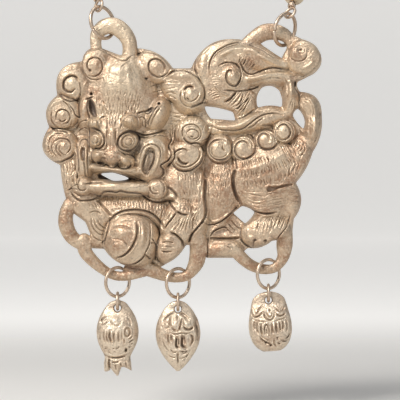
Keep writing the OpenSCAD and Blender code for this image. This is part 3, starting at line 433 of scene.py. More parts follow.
    (1, 0.65, 208.3, 238, 207.7, 246, 207.5, 254, 206.5, 258), (0.9, 0.4, 227, 246, 231, 248.6),
    # tail plume
    (1.2, 0.75, 199, 52.5, 196.5, 57, 195, 62.5, 194.8, 68, 196.3, 73.5, 199, 79, 201.5, 84),
    (0.9, 0.4, 205, 48.5, 211, 44.8, 218, 42, 226, 40.6, 234, 41),
    (1.2, 0.65, 210.5, 76, 209, 70, 209.8, 63, 212.5, 57, 216, 52.5, 221, 49.2, 227, 46, 233, 43.8,
     239, 42.8, 246, 44.5, 253, 47, 259, 49.5, 264, 52, 269, 55.5, 275, 58.8, 281, 60),
    (0.9, 0.45, 213, 60, 216.5, 54.5, 222, 51, 228, 47.8, 234, 46, 240, 45),
    (1.1, 0.65, 219, 66.5, 223, 64, 228, 63, 233, 63.8, 237, 66, 240, 70.5, 241, 76, 239.5, 81,
     236.5, 84.8), (1.2, 0.75, 239.5, 62.5, 241.5, 66.5, 243.5, 70.5, 247.5, 74, 253, 74.5, 259, 72,
     265, 69.8, 272, 68.3, 280, 68.8, 288, 69.8),
    (0.9, 0.4, 241.5, 70, 244.5, 75, 250, 77.3, 257, 76.2, 263, 73.8),
    (1.4, 0.75, 231.5, 74.5, 230.8, 71.5, 228.3, 71.7, 226.2, 74.8, 225.8, 79, 227.8, 83.5,
     231.5, 86.3, 235.8, 86.3, 239, 82.8, 240.5, 77.5),
    (1.1, 0.65, 224, 91, 229, 90.8, 236, 91.5, 243, 91, 250, 89.5, 256, 87.5, 261, 84.5),
    (1.6, 1, 225, 102, 230, 99.5, 234, 95, 236, 92.5),
    (1.1, 0.55, 250, 97, 243.5, 103, 238.5, 108, 235, 109.5),
    (1, 0.4, 288.6, 45.5, 287.8, 50, 288.4, 55, 291, 59.3, 295.5, 61.9, 301, 61.7, 305.2, 58.6,
     306.6, 53.6), (0.8, 0.2, 299.3, 49, 297.6, 51.5, 298.8, 54.5, 302, 55, 304.2, 52.6, 303.6, 49,
     300.6, 47, 296.8, 47.6, 294, 50.4, 293.5, 54.6, 296, 58.2),
    (0.9, 0.35, 294, 41.5, 300, 40.8, 306, 42, 312, 45, 317, 50, 319.5, 56, 318.5, 63, 314, 69,
     308, 74, 301, 77.5, 295, 78.5), (1, 0.6, 296.5, 80.5, 295, 84, 294.5, 88, 297, 92, 299.5, 95),
    (1, 0.55, 298.5, 92, 299, 98, 299, 105, 300, 110),
    (0.9, 0.35, 284.5, 79, 287, 85, 287.5, 93, 286, 100),
    (0.8, 0.3, 248, 84.5, 257, 82, 265, 79.3, 274, 78.3, 281, 79.5),
    (1, 0.35, 303, 98.5, 309, 102, 312.5, 109, 312.5, 118),
    (0.9, 0.35, 317.5, 105, 319.3, 115, 318.8, 126, 316.5, 137, 312, 146),
]
# Flat-bottomed slots: depth, darkness, then x, y and half-width in turn
TRENCHES = [
    (1.3, 0.42, 151, 153, 4.2, 150.4, 157, 5.2, 148.6, 163.5, 5.2, 146.6, 169.5, 4.2,
     146.8, 173.5, 1.8), (1.1, 0.55, 83.8, 149.5, 1.5, 83.4, 154, 1.9, 84.2, 159.8, 1.2),
    (1.7, 0.6, 100, 175.8, 1.8, 106, 176.5, 3.2, 119, 178, 3.5, 129.5, 179.6, 1.8),
    (1, 0.5, 205, 180, 0.5, 205.6, 185, 1.3, 204.8, 196, 1.2, 206, 209, 1, 205, 217, 0.8,
     202, 222.5, 0.7), (1.2, 0.45, 234.6, 171.5, 1, 233.2, 177, 1.4, 233.3, 185, 1.3, 235, 192, 1.1,
     238, 199, 0.9, 241, 204.5, 0.7), (0.9, 0.4, 268.8, 189.2, 2.2, 273, 188.8, 1.9,
     277.5, 187.6, 1, 283.5, 186, 0.6, 291, 184.6, 0.35),
    (0.9, 0.45, 211, 238.2, 0.5, 219, 238.7, 0.9, 229, 238.7, 0.9, 238.5, 237.9, 0.6),
    (0.9, 0.42, 90.4, 100.5, 1.2, 91.6, 105, 2.4, 93, 110.5, 2.8, 95.6, 116, 1.6),
    (0.8, 0.5, 97.5, 200.5, 0.3, 101.5, 204.5, 0.8, 106, 209.5, 0.8, 110.8, 215.2, 0.6),
]
# Raised lines, in the form of the cuts
RIDGES = [
    (1.3, 0.4, 49.5, 112, 52, 106.5, 57, 102.5, 63, 101.5),
    (1.2, 0.4, 101, 104, 105, 107, 109, 111.5, 110, 116),
    (1.1, 0.35, 95.5, 101, 97.5, 106, 100.5, 111), (2.6, 0.3, 129, 66, 130, 77, 131.5, 90),
    (2.4, 0.15, 137, 68, 140, 79, 142, 92), (2.6, 0.15, 121, 66, 120, 76, 119, 87),
    (2.4, 0.15, 113, 66, 110.5, 76, 108, 89), (1, 0.5, 148.4, 155.5, 146.4, 162, 144, 169),
    (1.4, 0.45, 163, 80.8, 169, 77.8, 175, 74, 182, 73, 189.5, 75.5, 196, 81, 201, 88),
    (1.1, 0.4, 182.8, 96, 184, 100.5, 188, 103.8, 193, 103.5, 197.5, 100.5, 200.3, 96, 200.8, 91),
    (1.1, 0.4, 202, 140, 206, 137.5, 209, 133.5, 210, 128), (1, 0.45, 199.5, 146, 201.8, 150,
     202, 155, 199.5, 161, 194, 166, 187, 168.8, 180, 168, 175.5, 164.5, 174, 160.5),
    (1, 0.4, 174.6, 157, 177, 153.5, 180.8, 151.2, 185, 150.8),
    (1.2, 0.55, 139.5, 172, 140.5, 165, 142, 157, 145, 150, 150.5, 146.6, 156, 147.6, 159.3, 152.5,
     159.3, 159, 156.5, 167, 152.5, 174),
    (1.4, 0.4, 144, 143, 150, 139.7, 157, 138.7, 162, 141.5, 165, 147, 166, 153),
    (0.9, 0.5, 172.6, 136, 173, 140, 170.6, 144.5, 170.6, 148, 173, 152.5, 173, 158, 169, 162.5,
     164.6, 165, 163, 166.6, 165.4, 169.5, 165.2, 175, 162, 179, 165, 183.5, 167, 188.5),
    (2.2, 0.7, 147, 196.5, 154, 199.3, 161, 198.8, 166.5, 197, 171.5, 196.8, 176.5, 200),
    (1, 0.45, 160, 106.5, 156, 110.5, 152.4, 116.5, 150, 122, 148.8, 127),
    (1.2, 0.35, 94, 168, 102, 167.7, 110, 169.7, 118, 169.7, 125, 171, 133, 171, 138, 167.5,
     141, 161), (1.4, 0.4, 90, 180.7, 100, 180.7, 108, 183, 118, 184.5, 128, 183, 138, 183.3),
    (1, 0.3, 100, 153.7, 104, 153.5, 109, 153.7), (1.2, 0.35, 120, 155.5, 124, 158, 127, 159.5),
    (0.9, 0.4, 81, 146, 80.5, 153, 81.5, 161), (0.9, 0.4, 87, 146, 87, 154, 86.7, 163),
    (0.9, 0.5, 113, 219.7, 118, 216, 125, 213.3, 133, 212.2, 141, 212.6, 148, 214.8, 154.5, 218.5,
     159, 223.5, 161.5, 229), (2, 0.4, 142.5, 224, 144.3, 232, 143.6, 240, 140.5, 247),
    (1, 0.35, 140, 222, 140.6, 230, 139.6, 238, 136.6, 245, 131.5, 252, 124, 257.5),
    (0.8, 0.5, 207, 179, 207.2, 190, 206.3, 200), (0.8, 0.5, 235, 178, 235.8, 188, 238.6, 197),
    (1.3, 0.4, 206, 219.5, 212, 221.8, 219, 220, 225, 216.3, 230, 211.5),
    (1.5, 0.45, 209.8, 236, 211.6, 231, 216.5, 227.2, 224, 225),
    (2.8, 0.75, 210, 123, 218, 125.8, 228, 127, 238, 126, 246, 121.5, 253, 116, 260, 112, 268, 110,
     276, 109.8, 284, 111.5), (1.2, 0.35, 226, 146.5, 226.5, 141, 225.5, 136.5),
    (1.1, 0.35, 250.5, 150, 250.5, 145.5), (1.1, 0.4, 268, 143.5, 270.8, 142.5, 271, 138),
    (3.4, 0.5, 246, 170, 256, 167, 266, 163, 276, 158, 286, 153.5),
    (1, 0.35, 281, 190.3, 288, 189, 294, 189.5), (1.6, 0.5, 255, 221, 262, 217, 270, 215.5),
    (2.6, 0.6, 216, 65, 219.5, 58, 226.5, 53, 235, 49.8, 243, 48, 250, 49.5, 256, 53.5, 263, 58.5,
     270, 62.5, 278, 66, 285, 67.3), (1.1, 0.4, 214, 85, 218, 90, 223, 94, 229, 96.6),
    (1.6, 0.45, 303, 69, 308, 66.5, 312.5, 62.5), (3.2, 0.8, 288.6, 80, 290.4, 88, 290.4, 98),
    (3, 0.6, 245, 80.5, 255, 78.8, 264, 75.3, 274, 73.3, 283, 74.5),
    (3, 0.6, 305, 98, 311, 103.5, 314.7, 112, 315.3, 122, 313.3, 132, 309, 141),
    (1.3, 0.4, 199, 150, 203.5, 152, 205, 155),
    (1.3, 0.4, 203.3, 168, 200.8, 180, 199, 190, 198.5, 198), (1, 0.3, 84, 88, 86, 84, 88, 81),
]
# Rows of short strokes: how many, width in cells, depth in millimetres, then the points of the
# line where they start and of the line where they end
STROKES = [
    (6, 0.9, 0.4, (92, 117, 97, 117, 101, 119), (93, 127, 97, 128, 101, 129)),
    (16, 0.9, 0.32, (97, 99, 104, 93, 114, 91, 126, 91, 135, 93.5, 142, 99), (98, 104.5,
     104.5, 98.5, 114, 96.5, 125.5, 96.5, 134, 99, 141, 104.5)),
    (15, 0.9, 0.35, (99, 105, 105, 99.5, 114, 97.5, 125, 97.5, 134, 100, 141, 105), (100, 110.5,
     106, 105, 114, 103, 125, 103, 133, 105.5, 139.5, 110.5)),
    (14, 0.9, 0.38, (100, 111, 106, 106, 115, 104, 124, 104, 132, 106.5, 139, 111.5), (102, 116.5,
     107, 111.5, 115, 109.5, 124, 109.5, 131, 112, 137, 117)),
    (11, 0.9, 0.38, (103, 116, 108, 112, 115, 110.5, 123, 110.5, 130, 112.5), (105, 121, 109, 117,
     115, 115.5, 122, 115.5, 128, 117)), (6, 0.9, 0.4, (107, 118, 112, 116.5, 118, 116.5, 123, 118),
     (108, 122, 113, 121, 118, 121, 122, 122)),
    (5, 0.8, 0.35, (110, 122, 114, 121, 119, 122), (111, 127, 114, 127, 118, 127)),
    (5, 0.8, 0.35, (126, 120, 130.5, 118.5, 135, 120), (127.5, 129, 131, 130, 135.5, 129)),
    (3, 0.8, 0.35, (140.5, 120, 144.5, 120), (141, 129, 145, 128)),
    (6, 0.9, 0.4, (143, 132.5, 142, 135, 143, 137.8), (160, 128.5, 164, 131.5, 163, 135)),
    (8, 0.9, 0.4, (63, 164, 70, 162, 78, 160), (64, 176, 71, 175, 78, 174)),
    (7, 0.9, 0.4, (63, 177, 70, 176, 78, 175), (66, 189, 72, 187, 78, 185)),
    (4, 0.8, 0.35, (69, 195, 72, 200, 76, 203), (69, 204, 73, 208, 78, 210)),
    (4, 0.8, 0.3, (45, 149, 48, 154, 52, 158), (49, 147, 52, 152, 56, 156)),
    (18, 0.8, 0.34, (102, 196, 112, 194, 127, 195, 142, 196.5, 150, 201), (103, 201, 113, 200,
     127, 200.5, 142, 202, 150, 205)), (22, 0.8, 0.34, (105, 202, 118, 201, 133, 202, 150, 205,
     166, 202), (107, 208, 119, 206, 133, 207, 150, 210, 166, 208)),
    (16, 0.8, 0.34, (112, 209.5, 124, 206.5, 140, 207, 156, 210, 167, 208), (113, 213, 124, 209,
     140, 209, 154, 214.5, 164, 218)),
    (5, 1, 0.5, (163, 206, 167, 208, 172, 212), (161, 219, 164, 221, 167, 221)),
    (9, 0.9, 0.3, (176, 173, 188, 174, 201, 172), (177, 179, 189, 180, 201, 178)),
    (9, 0.9, 0.3, (178, 181, 189, 182, 202, 180), (179, 188, 189, 189, 201, 187)),
    (9, 0.9, 0.3, (179, 190, 190, 190.5, 202, 188.5), (180, 196.5, 190, 197, 201, 195)),
    (8, 0.9, 0.3, (180, 198, 190, 198.5, 201, 197), (181, 204, 190, 205, 200, 203)),
    (8, 0.9, 0.28, (181, 206, 190, 207, 201, 205), (180, 212, 190, 213, 200, 211)),
    (6, 1, 0.4, (177, 216, 184, 217, 192, 216), (170, 230, 177, 231, 186, 233)),
    (4, 1, 0.4, (193, 214, 197, 213, 201, 212), (188, 229, 193, 227, 197, 224)),
    (6, 0.9, 0.45, (171, 126, 176, 124, 184, 122), (172, 145, 177, 147, 182, 142)),
    (5, 0.9, 0.35, (170, 110, 171, 117, 172, 124), (184, 112, 184, 119, 184, 124)),
    (4, 0.9, 0.35, (187, 110, 193, 110, 200, 112), (186, 121, 192, 122, 199, 124)),
    (3, 0.9, 0.35, (204, 122, 207, 124, 209, 127), (203, 130, 205, 132, 207, 134)),
    (10, 0.9, 0.32, (209, 165, 220, 166, 231, 164), (209, 171, 220, 172, 230, 170)),
    (9, 0.9, 0.35, (210, 173, 219, 174, 230, 172), (210, 179, 219, 180, 229, 178)),
    (9, 0.9, 0.35, (210, 181, 219, 182, 230, 180), (210, 188, 219, 189, 229, 187)),
    (8, 0.8, 0.25, (210, 190, 219, 192, 231, 190), (210, 196, 219, 198, 231, 196)),
    (6, 0.8, 0.22, (210, 200, 219, 202, 232, 200), (210, 206, 219, 208, 230, 206)),
    (15, 0.9, 0.46, (241, 162, 256, 159, 274, 156), (242, 169, 258, 165, 275, 161)),
    (19, 0.9, 0.48, (241, 172, 258, 169, 276, 163, 292, 155), (242, 180, 259, 176, 279, 170,
     296, 162)), (15, 0.9, 0.4, (242, 182, 256, 180, 272, 176, 290, 170), (244, 189, 257, 187,
     272, 182, 289, 177)),
    (7, 0.8, 0.25, (244, 190, 247, 198, 250, 207), (262, 192, 264, 200, 266, 210)),
    (6, 0.8, 0.28, (265, 195, 267, 203, 268, 210), (282, 192, 286, 199, 287, 206)),
    (5, 0.8, 0.22, (286, 189, 289, 196, 290, 205), (297, 188, 298, 196, 297, 206)),
    (6, 1, 0.45, (280, 148, 286, 146, 292, 147), (286, 160, 292, 158, 298, 156)),
    (6, 1, 0.4, (296, 137, 301, 143, 306, 149), (291, 146, 296, 153, 301, 160)),
    (5, 0.9, 0.35, (290, 166, 296, 165, 302, 160), (287, 176, 292, 175, 297, 171)),
    (11, 0.9, 0.32, (258, 221, 268, 219, 279, 216), (254, 233, 264, 234, 273, 230)),
    (6, 0.8, 0.25, (266, 217, 272, 216, 280, 214), (262, 222, 269, 222, 277, 219)),
    (5, 0.9, 0.4, (278, 214, 282, 216, 286, 217), (275, 226, 278, 228, 281, 229)),
    (10, 0.9, 0.42, (240, 56, 248, 59, 257, 64), (237, 62, 243, 67, 252, 71)),
    (6, 0.9, 0.28, (206, 90, 208, 96, 214, 101), (214, 86, 218, 92, 224, 98)),
    (6, 0.9, 0.25, (212, 74, 211, 80, 214, 86), (219, 73, 219, 79, 221, 84)),
    (8, 1, 0.5, (238, 94, 247, 92, 254, 97), (225, 105.5, 234, 111, 243, 117)),
    (3, 0.9, 0.35, (291, 98, 293, 100, 296, 102), (289, 108, 292, 110, 295, 110)),
    (3, 0.9, 0.3, (84, 250, 87, 252, 90, 254), (88, 258, 91, 259, 94, 260)),
]


# ---- Relief ----

# Domes: how full they are, and from what sharpness and up to what width they are flat-topped
DOME_POWER, SOFT_POWER = 0.46, 0.75
CURL_SHARP, CURL_WIDEST = 0.3, 25
# Width in cells over which a dome joins what is behind it, cut round or not
SHARP_JOIN, SOFT_JOIN = 0.4, 1.4
# The crease round a dome that is cut round
CREASE_WIDTH, CREASE_DEPTH, CREASE_DARK = 0.7, 0.45, 0.6
# How fast a patch of wear or stain, and of the painted light and shade among them, fades towards
# its edge
PATCH_FALL = 0.8
# Lines: width against the table's, then the lip and the stain of a cut
CUT_WIDTH, RIDGE_WIDTH = 0.56, 0.9
LIP_OUT, LIP_WIDTH, LIP_RISE, LIP_WEAR = 2.2, 0.9, 0.16, 0.5
STAIN_WIDTH, STAIN_DEPTH, STAIN_MOST, STAIN_BROWN = 0.85, 0.85, 0.8, 1.5
RIDGE_WEAR = 0.4
# Slots: softness of the wall, and the rim's place, width and rise
SLOT_WALL, RIM_OUT, RIM_WIDTH, RIM_RISE = 0.33, 1.3, 0.8, 0.22
# Strokes: how much their ends, bends, widths and depths differ, how they fade, how dark
STROKE_SHIFT, STROKE_BEND = 0.5, 0.08
STROKE_WIDTHS, STROKE_DEPTHS = (0.85, 1.1), (0.75, 1.2)
STROKE_FADE, STROKE_DARK, STROKE_SEED = 0.45, 0.6, 5


def curved(points, steps=4):
    """A smooth line through points given as rows, every column carried along."""
    rows = np.asarray(points, float)
    closed = np.allclose(rows[0], rows[-1])
    before = rows[-2] if closed else 2 * rows[0] - rows[1]
    after = rows[1] if closed else 2 * rows[-1] - rows[-2]
    ends = np.vstack([before, rows, after])
    out = [rows[0]]
    for a, b, c, d in zip(ends, ends[1:], ends[2:], ends[3:]):
        for k in range(1, steps + 1):
            t = k / steps
            out.append(0.5 * (2 * b + (c - a) * t + (2 * a - 5 * b + 4 * c - d) * t * t
                              + (3 * b - a - 3 * c + d) * t ** 3))
    return np.array(out)


def paired(numbers):
    """A flat row of numbers as x, y pairs."""
    return np.reshape(np.asarray(numbers, float), (-1, 2))


def along_line(line, share):
    """The point at a share of the way along a line."""
    place = share * (len(line) - 1)
    i = min(int(place), len(line) - 2)
    return line[i] + (line[i + 1] - line[i]) * (place - i)


class Relief:
    """Heights in millimetres over points of the design grid, worked by the tools below.

    The patina is how dark each point is, with painted shade in some of its patches, and the wear
    how pale (above 0) or brown (below 0), with painted highlights and painted shade in some of its
    patches.
    """

    def __init__(self, x, y, height):
        self.shape = x.shape
        self.x = x.ravel()
        self.y = y.ravel()
        self.height = height
        self.patina_and_shade = np.zeros(x.size)
        self.wear_and_light = np.zeros(x.size)

    def near(self, line, reach):
        """The points within reach of a line: their places, distance and how far along."""
        low = line[:, :2].min(0) - reach
        high = line[:, :2].max(0) + reach
        at = np.nonzero((self.x > low[0]) & (self.x < high[0])
                        & (self.y > low[1]) & (self.y < high[1]))[0]
        px, py = self.x[at], self.y[at]
        best = np.full(len(at), np.inf)
        along = np.zeros(len(at))
        steps = len(line) - 1
        for k in range(steps):
            ax, ay = line[k, :2]
            dx, dy = line[k + 1, :2] - line[k, :2]
            length = max(dx * dx + dy * dy, 1e-9)
            t = np.clip(((px - ax) * dx + (py - ay) * dy) / length, 0, 1)
            gap = (px - ax - t * dx) ** 2 + (py - ay - t * dy) ** 2
            closer = gap < best
            best = np.where(closer, gap, best)
            along = np.where(closer, (k + t) / steps, along)
        return at, np.sqrt(best), along

    def oval(self, x, y, half_w, half_h, turn):
        """The square of how far each point is from an oval's middle, 1 at its rim."""
        c, s = math.cos(math.radians(turn)), math.sin(math.radians(turn))
        dx, dy = self.x - x, self.y - y
        return ((dx * c + dy * s) / half_w) ** 2 + ((dy * c - dx * s) / half_h) ** 2

    def form(self, x, y, half_w, half_h, turn, top, sharp):
        """A broad dome, cut round where it stands out of what is behind it."""
        q = self.oval(x, y, half_w, half_h, turn)
        if sharp >= CURL_SHARP and half_w < CURL_WIDEST:
            shape = np.sqrt(np.maximum(1 - q * q, 0))
        else:
            shape = np.maximum(1 - q, 0) ** (DOME_POWER if sharp else SOFT_POWER)
        new = GROUND + (top - GROUND) * shape
        step = self.height - new
        join = SHARP_JOIN if sharp else SOFT_JOIN
        share = np.maximum(join - np.abs(step), 0) / join
        self.height = np.maximum(self.height, new) + (q < 1) * share * share * join / 4
        if sharp:
            rise_y, rise_x = np.gradient(step.reshape(self.shape), STEP)
            slope = np.hypot(rise_x, rise_y).ravel()
            crease = (np.exp(-(step / np.maximum(slope, 0.12) / CREASE_WIDTH) ** 2)
                      * (new > GROUND + 0.2))
            self.height -= CREASE_DEPTH * sharp * crease
            self.patina_and_shade = np.maximum(self.patina_and_shade, CREASE_DARK * sharp * crease)

    def swell(self, x, y, half_w, half_h, turn, rise):
        """A small swelling, or a hollow that is dark inside."""
        shape = np.maximum(1 - self.oval(x, y, half_w, half_h, turn), 0) ** 1.5
        self.height += rise * shape
        if rise < 0:
            self.patina_and_shade = np.maximum(self.patina_and_shade, np.minimum(1, -rise) * shape ** 0.5)

    def wear_and_light_patch(self, x, y, half_w, half_h, turn, amount):
        """A soft-edged patch of paler or browner metal, for wear and for painted highlight and
        shade.
        """
        q = self.oval(x, y, half_w, half_h, turn)
        self.wear_and_light += amount * np.exp(-q * q * PATCH_FALL)

    def stain_and_shade(self, x, y, half_w, half_h, turn, amount):
        """A soft-edged patch of darker or cleaner recess: patina and painted shade above 0, the
        recess cleared under a painted highlight below 0.
        """
        q = self.oval(x, y, half_w, half_h, turn)
        self.patina_and_shade = np.maximum(self.patina_and_shade + amount * np.exp(-q * q * PATCH_FALL), 0)

    def line(self, row, side, fade=0.12, dark=1.0):
        """A cut (side -1) or a raised line (side 1), fading out at both ends."""
        width, depth = row[0] * (CUT_WIDTH if side < 0 else RIDGE_WIDTH), row[1]
        line = curved(paired(row[2:]))
        at, gap, along = self.near(line, 4 * width)
        closed = np.allclose(line[0], line[-1])
        ends = 1 if closed else np.clip(np.minimum(along, 1 - along) / fade, 0.25, 1) ** 0.6
        core = np.exp(-(gap / width) ** 2) * ends
        self.height[at] += side * depth * core
        if side > 0:
            self.wear_and_light[at] += RIDGE_WEAR * core
            return
        lip = np.exp(-((gap - LIP_OUT * width) / (LIP_WIDTH * width)) ** 2) * ends
        self.height[at] += LIP_RISE * depth * lip
        self.wear_and_light[at] += LIP_WEAR * lip
        stain = (min(STAIN_MOST, depth / STAIN_DEPTH)
                 * np.exp(-(gap / (STAIN_WIDTH * width)) ** 2) * ends)
        self.patina_and_shade[at] = np.maximum(self.patina_and_shade[at], dark * stain)
        self.wear_and_light[at] -= STAIN_BROWN * (1 - dark) * stain

    def trench(self, depth, dark, *points):
        """A flat-bottomed slot with a rounded rim, as wide at each point as the row says."""
        line = curved(np.reshape(np.asarray(points, float), (-1, 3)))
        at, gap, along = self.near(line, 9)
        half = np.interp(along * (len(line) - 1), range(len(line)), line[:, 2])
        floor = 1 / (1 + np.exp((gap - half) / SLOT_WALL))
        rim = np.exp(-((gap - half - RIM_OUT) / RIM_WIDTH) ** 2)
        self.height[at] += RIM_RISE * rim - depth * floor
        self.patina_and_shade[at] = np.maximum(self.patina_and_shade[at], dark * floor)

    def strokes(self, count, width, depth, starts, ends, draw):
        """Short strokes between two lines, each a little different from the next."""
        a, b = curved(paired(starts)), curved(paired(ends))
        for k in range(count):
            share = (k + 0.5) / count
            p, q = along_line(a, share), along_line(b, share)
            p, q = p + draw.normal(0, STROKE_SHIFT, 2), q + draw.normal(0, STROKE_SHIFT, 2)
            bend = draw.normal(0, STROKE_BEND) * np.array([q[1] - p[1], p[0] - q[0]])
            mid = (p + q) / 2 + bend
            deep = depth * draw.uniform(*STROKE_DEPTHS)
            row = (width * draw.uniform(*STROKE_WIDTHS), deep, *p, *mid, *q)
            self.line(row, -1, STROKE_FADE, STROKE_DARK)


def stand_out(rows, steps=10):
    """Points of an outline whose rows are x, y and the outward stand of the arc before each."""
    points = []
    for (ax, ay, _), (bx, by, bulge) in zip(rows, rows[1:]):
        dx, dy = bx - ax, by - ay
        size = math.hypot(dx, dy)
        for k in range(1, steps + 1):
            t = k / steps
            out = 4 * bulge * t * (1 - t) / size
            points.append((ax + dx * t + dy * out, ay + dy * t - dx * out))
    return np.array(points)


def inside(x, y, ring):
    """Whether points are inside a closed outline."""
    count = np.zeros(len(x), int)
    for (ax, ay), (bx, by) in zip(ring, np.roll(ring, -1, 0)):
        if ay == by:
            continue
        crosses = (ay > y) != (by > y)
        count += crosses & (x < (bx - ax) * (y - ay) / (by - ay) + ax)
    return count % 2 == 1


def blurred(values, shape, cells):
    """Values on a grid softened over a number of its own steps."""
    fy = np.fft.fftfreq(shape[0])[:, None]
    fx = np.fft.rfftfreq(shape[1])[None]
    soft = np.exp(-2 * (math.pi * cells) ** 2 * (fx ** 2 + fy ** 2))
    return np.fft.irfft2(np.fft.rfft2(values.reshape(shape)) * soft, shape).ravel()


def quarter(share):
    """The rise of a rounded edge, from nothing at 0 to full at 1."""
    return np.sqrt(1 - (1 - np.clip(share, 0, 1)) ** 2)


# ---- The cast lion ----

# Step of the grid in cells, and its lowest and highest x and y
STEP = 0.5
GRID_X, GRID_Y = (40, 326), (14, 286)
# Farther in than any edge shows, in cells, and a height that no metal reaches
FAR, NO_METAL = 20.0, 9.0
# Softening of the outline's corners, in steps, and the rounded edge's width and middle height
CORNER_SOFT = 1.6
EDGE, EDGE_MID = 3.5, 1.5
# Bars against those in part.scad, and how they join the body, in cells and in millimetres
BAR_TRIM = 0.98
BAR_EDGE, BAR_JOIN = 1.5, 0.5
# Hollow of the back: softening in steps, from what height of the front, its share and its most
HOLLOW_SOFT, HOLLOW_FROM, HOLLOW_SHARE, HOLLOW_MOST = 9, 2.6, 0.3, 1.3
# How far in from the edge it begins, and over what width
HOLLOW_IN, HOLLOW_EDGE = 5, 7
# Darkness of recesses for each millimetre that they lie below what is near and what is around
NEAR_STEPS, NEAR_DARK = 3, 0.5
ROUND_STEPS, ROUND_DARK = 12, 0.03
# Share of a step within which a grid point is moved on to the outline
SNAP = 0.32
# Patina and wear of the back
BACK_TONE = [[0.2], [-0.2]]


def edges_of_lion(relief):
    """How far in each point is from the body's edge and from a bar's, and the bar's rise."""
    x, y = relief.x, relief.y
    outline = stand_out(BODY_OUTLINE)
    gaps = [stand_out(rows) for rows in BODY_GAPS]
    solid = inside(x, y, outline)
    body_in = np.full(len(x), FAR)
    for ring in [outline] + gaps:
        at, gap, _ = relief.near(np.vstack([ring, ring[:1]]), FAR)
        body_in[at] = np.minimum(body_in[at], gap)
    for ring in gaps:
        solid &= ~inside(x, y, ring)
    body_in = blurred(np.where(solid, body_in, -body_in), relief.shape, CORNER_SOFT)
    bar_in = np.full(len(x), -FAR)
    bar_rise = np.full(len(x), -NO_METAL)
    for rows in BARS:
        line = curved(rows)
        at, gap, along = relief.near(line, FAR)
        place = along * (len(line) - 1)
        wide = np.interp(place, range(len(line)), line[:, 2]) * BAR_TRIM
        deep = np.interp(place, range(len(line)), line[:, 3]) * BAR_TRIM
        bar_in[at] = np.maximum(bar_in[at], wide - gap)
        round_up = deep * np.sqrt(np.maximum(1 - (gap / wide) ** 2, 0))
        bar_rise[at] = np.maximum(bar_rise[at], np.where(gap < wide, round_up, -NO_METAL))
    return body_in, bar_in, bar_rise


def carve_lion(relief):
    """The front, form by form and then line by line."""
    # the wear patches paint highlights pale and shade brown, as well as wear
    for tool, rows in ((relief.form, FORMS), (relief.swell, SWELLS), (relief.wear_and_light_patch, WEAR_AND_PAINTED_LIGHT)):
        for row in rows:
            tool(*row)
    for row in RIDGES:
        relief.line(row, 1)
    for row in TRENCHES:
        relief.trench(*row)
    for row in CUTS:
        relief.line(row, -1)
    draw = np.random.default_rng(STROKE_SEED)
    for row in STROKES:
        relief.strokes(*row, draw)
    # patches of patina and painted shade, and recesses cleared under painted highlights
    for row in STAINS_AND_PAINTED_SHADE:
        relief.stain_and_shade(*row)


def cast_lion():
    """The lion's closed mesh: vertices in metres, faces, and each vertex's patina and wear, painted
    shade and highlights among them.
    """
    gx, gy = np.meshgrid(*(np.arange(low, high + 0.01, STEP) for low, high in (GRID_X, GRID_Y)))
    relief = Relief(gx, gy, np.full(gx.size, GROUND))
    body_in, bar_in, bar_rise = edges_of_lion(relief)
    within = np.maximum(body_in, bar_in)
    carve_lion(relief)

    # rounded edges, bars and back
    rise = quarter(body_in / EDGE)
    middle = EDGE_MID + (BAR_RISE - EDGE_MID) * np.clip(bar_in / BAR_EDGE + 0.5, 0, 1)
    body_front = middle + (relief.height - middle) * rise
    front = np.where(body_in > 0, body_front, -NO_METAL)
    bar_top = BAR_RISE + bar_rise
    both = np.maximum(BAR_JOIN - np.abs(front - bar_top), 0) / BAR_JOIN
    front = np.maximum(front, bar_top) + both * both * BAR_JOIN / 4
    broad_form = blurred(np.where(within > 0, front, GROUND), relief.shape, HOLLOW_SOFT)
    hollow = (np.clip(HOLLOW_SHARE * (broad_form - HOLLOW_FROM), 0, HOLLOW_MOST)
              * np.clip((body_in - HOLLOW_IN) / HOLLOW_EDGE, 0, 1))
    body_back = middle * (1 - rise) + hollow
    back = np.where(body_in > 0, body_back, NO_METAL)
    back = np.minimum(back, np.where(bar_in > 0, BAR_RISE - bar_rise, NO_METAL))

    # dark metal in the recesses, painted shade among it, and bright metal on what stands proud
    flat = np.where(within > 0, front, middle - 0.5)
    near = blurred(flat, relief.shape, NEAR_STEPS) - flat
    around = blurred(flat, relief.shape, ROUND_STEPS) - flat
    patina_and_shade = np.clip(relief.patina_and_shade + near * NEAR_DARK + np.clip(around, -1, 3) * ROUND_DARK, -1, 1)
    return mesh_of_sheet(relief, STEP, within, front, back, middle, patina_and_shade, on_pendant)


def on_pendant(x, y, h):
    """The place in metres of points of the pendant's design grid."""
    return np.stack([(x - MID_X) * CELL, PLANE_Y - (h - BAR_RISE) * MM,
                     MIDDLE_Z + (MID_Y - y) * CELL], 1)


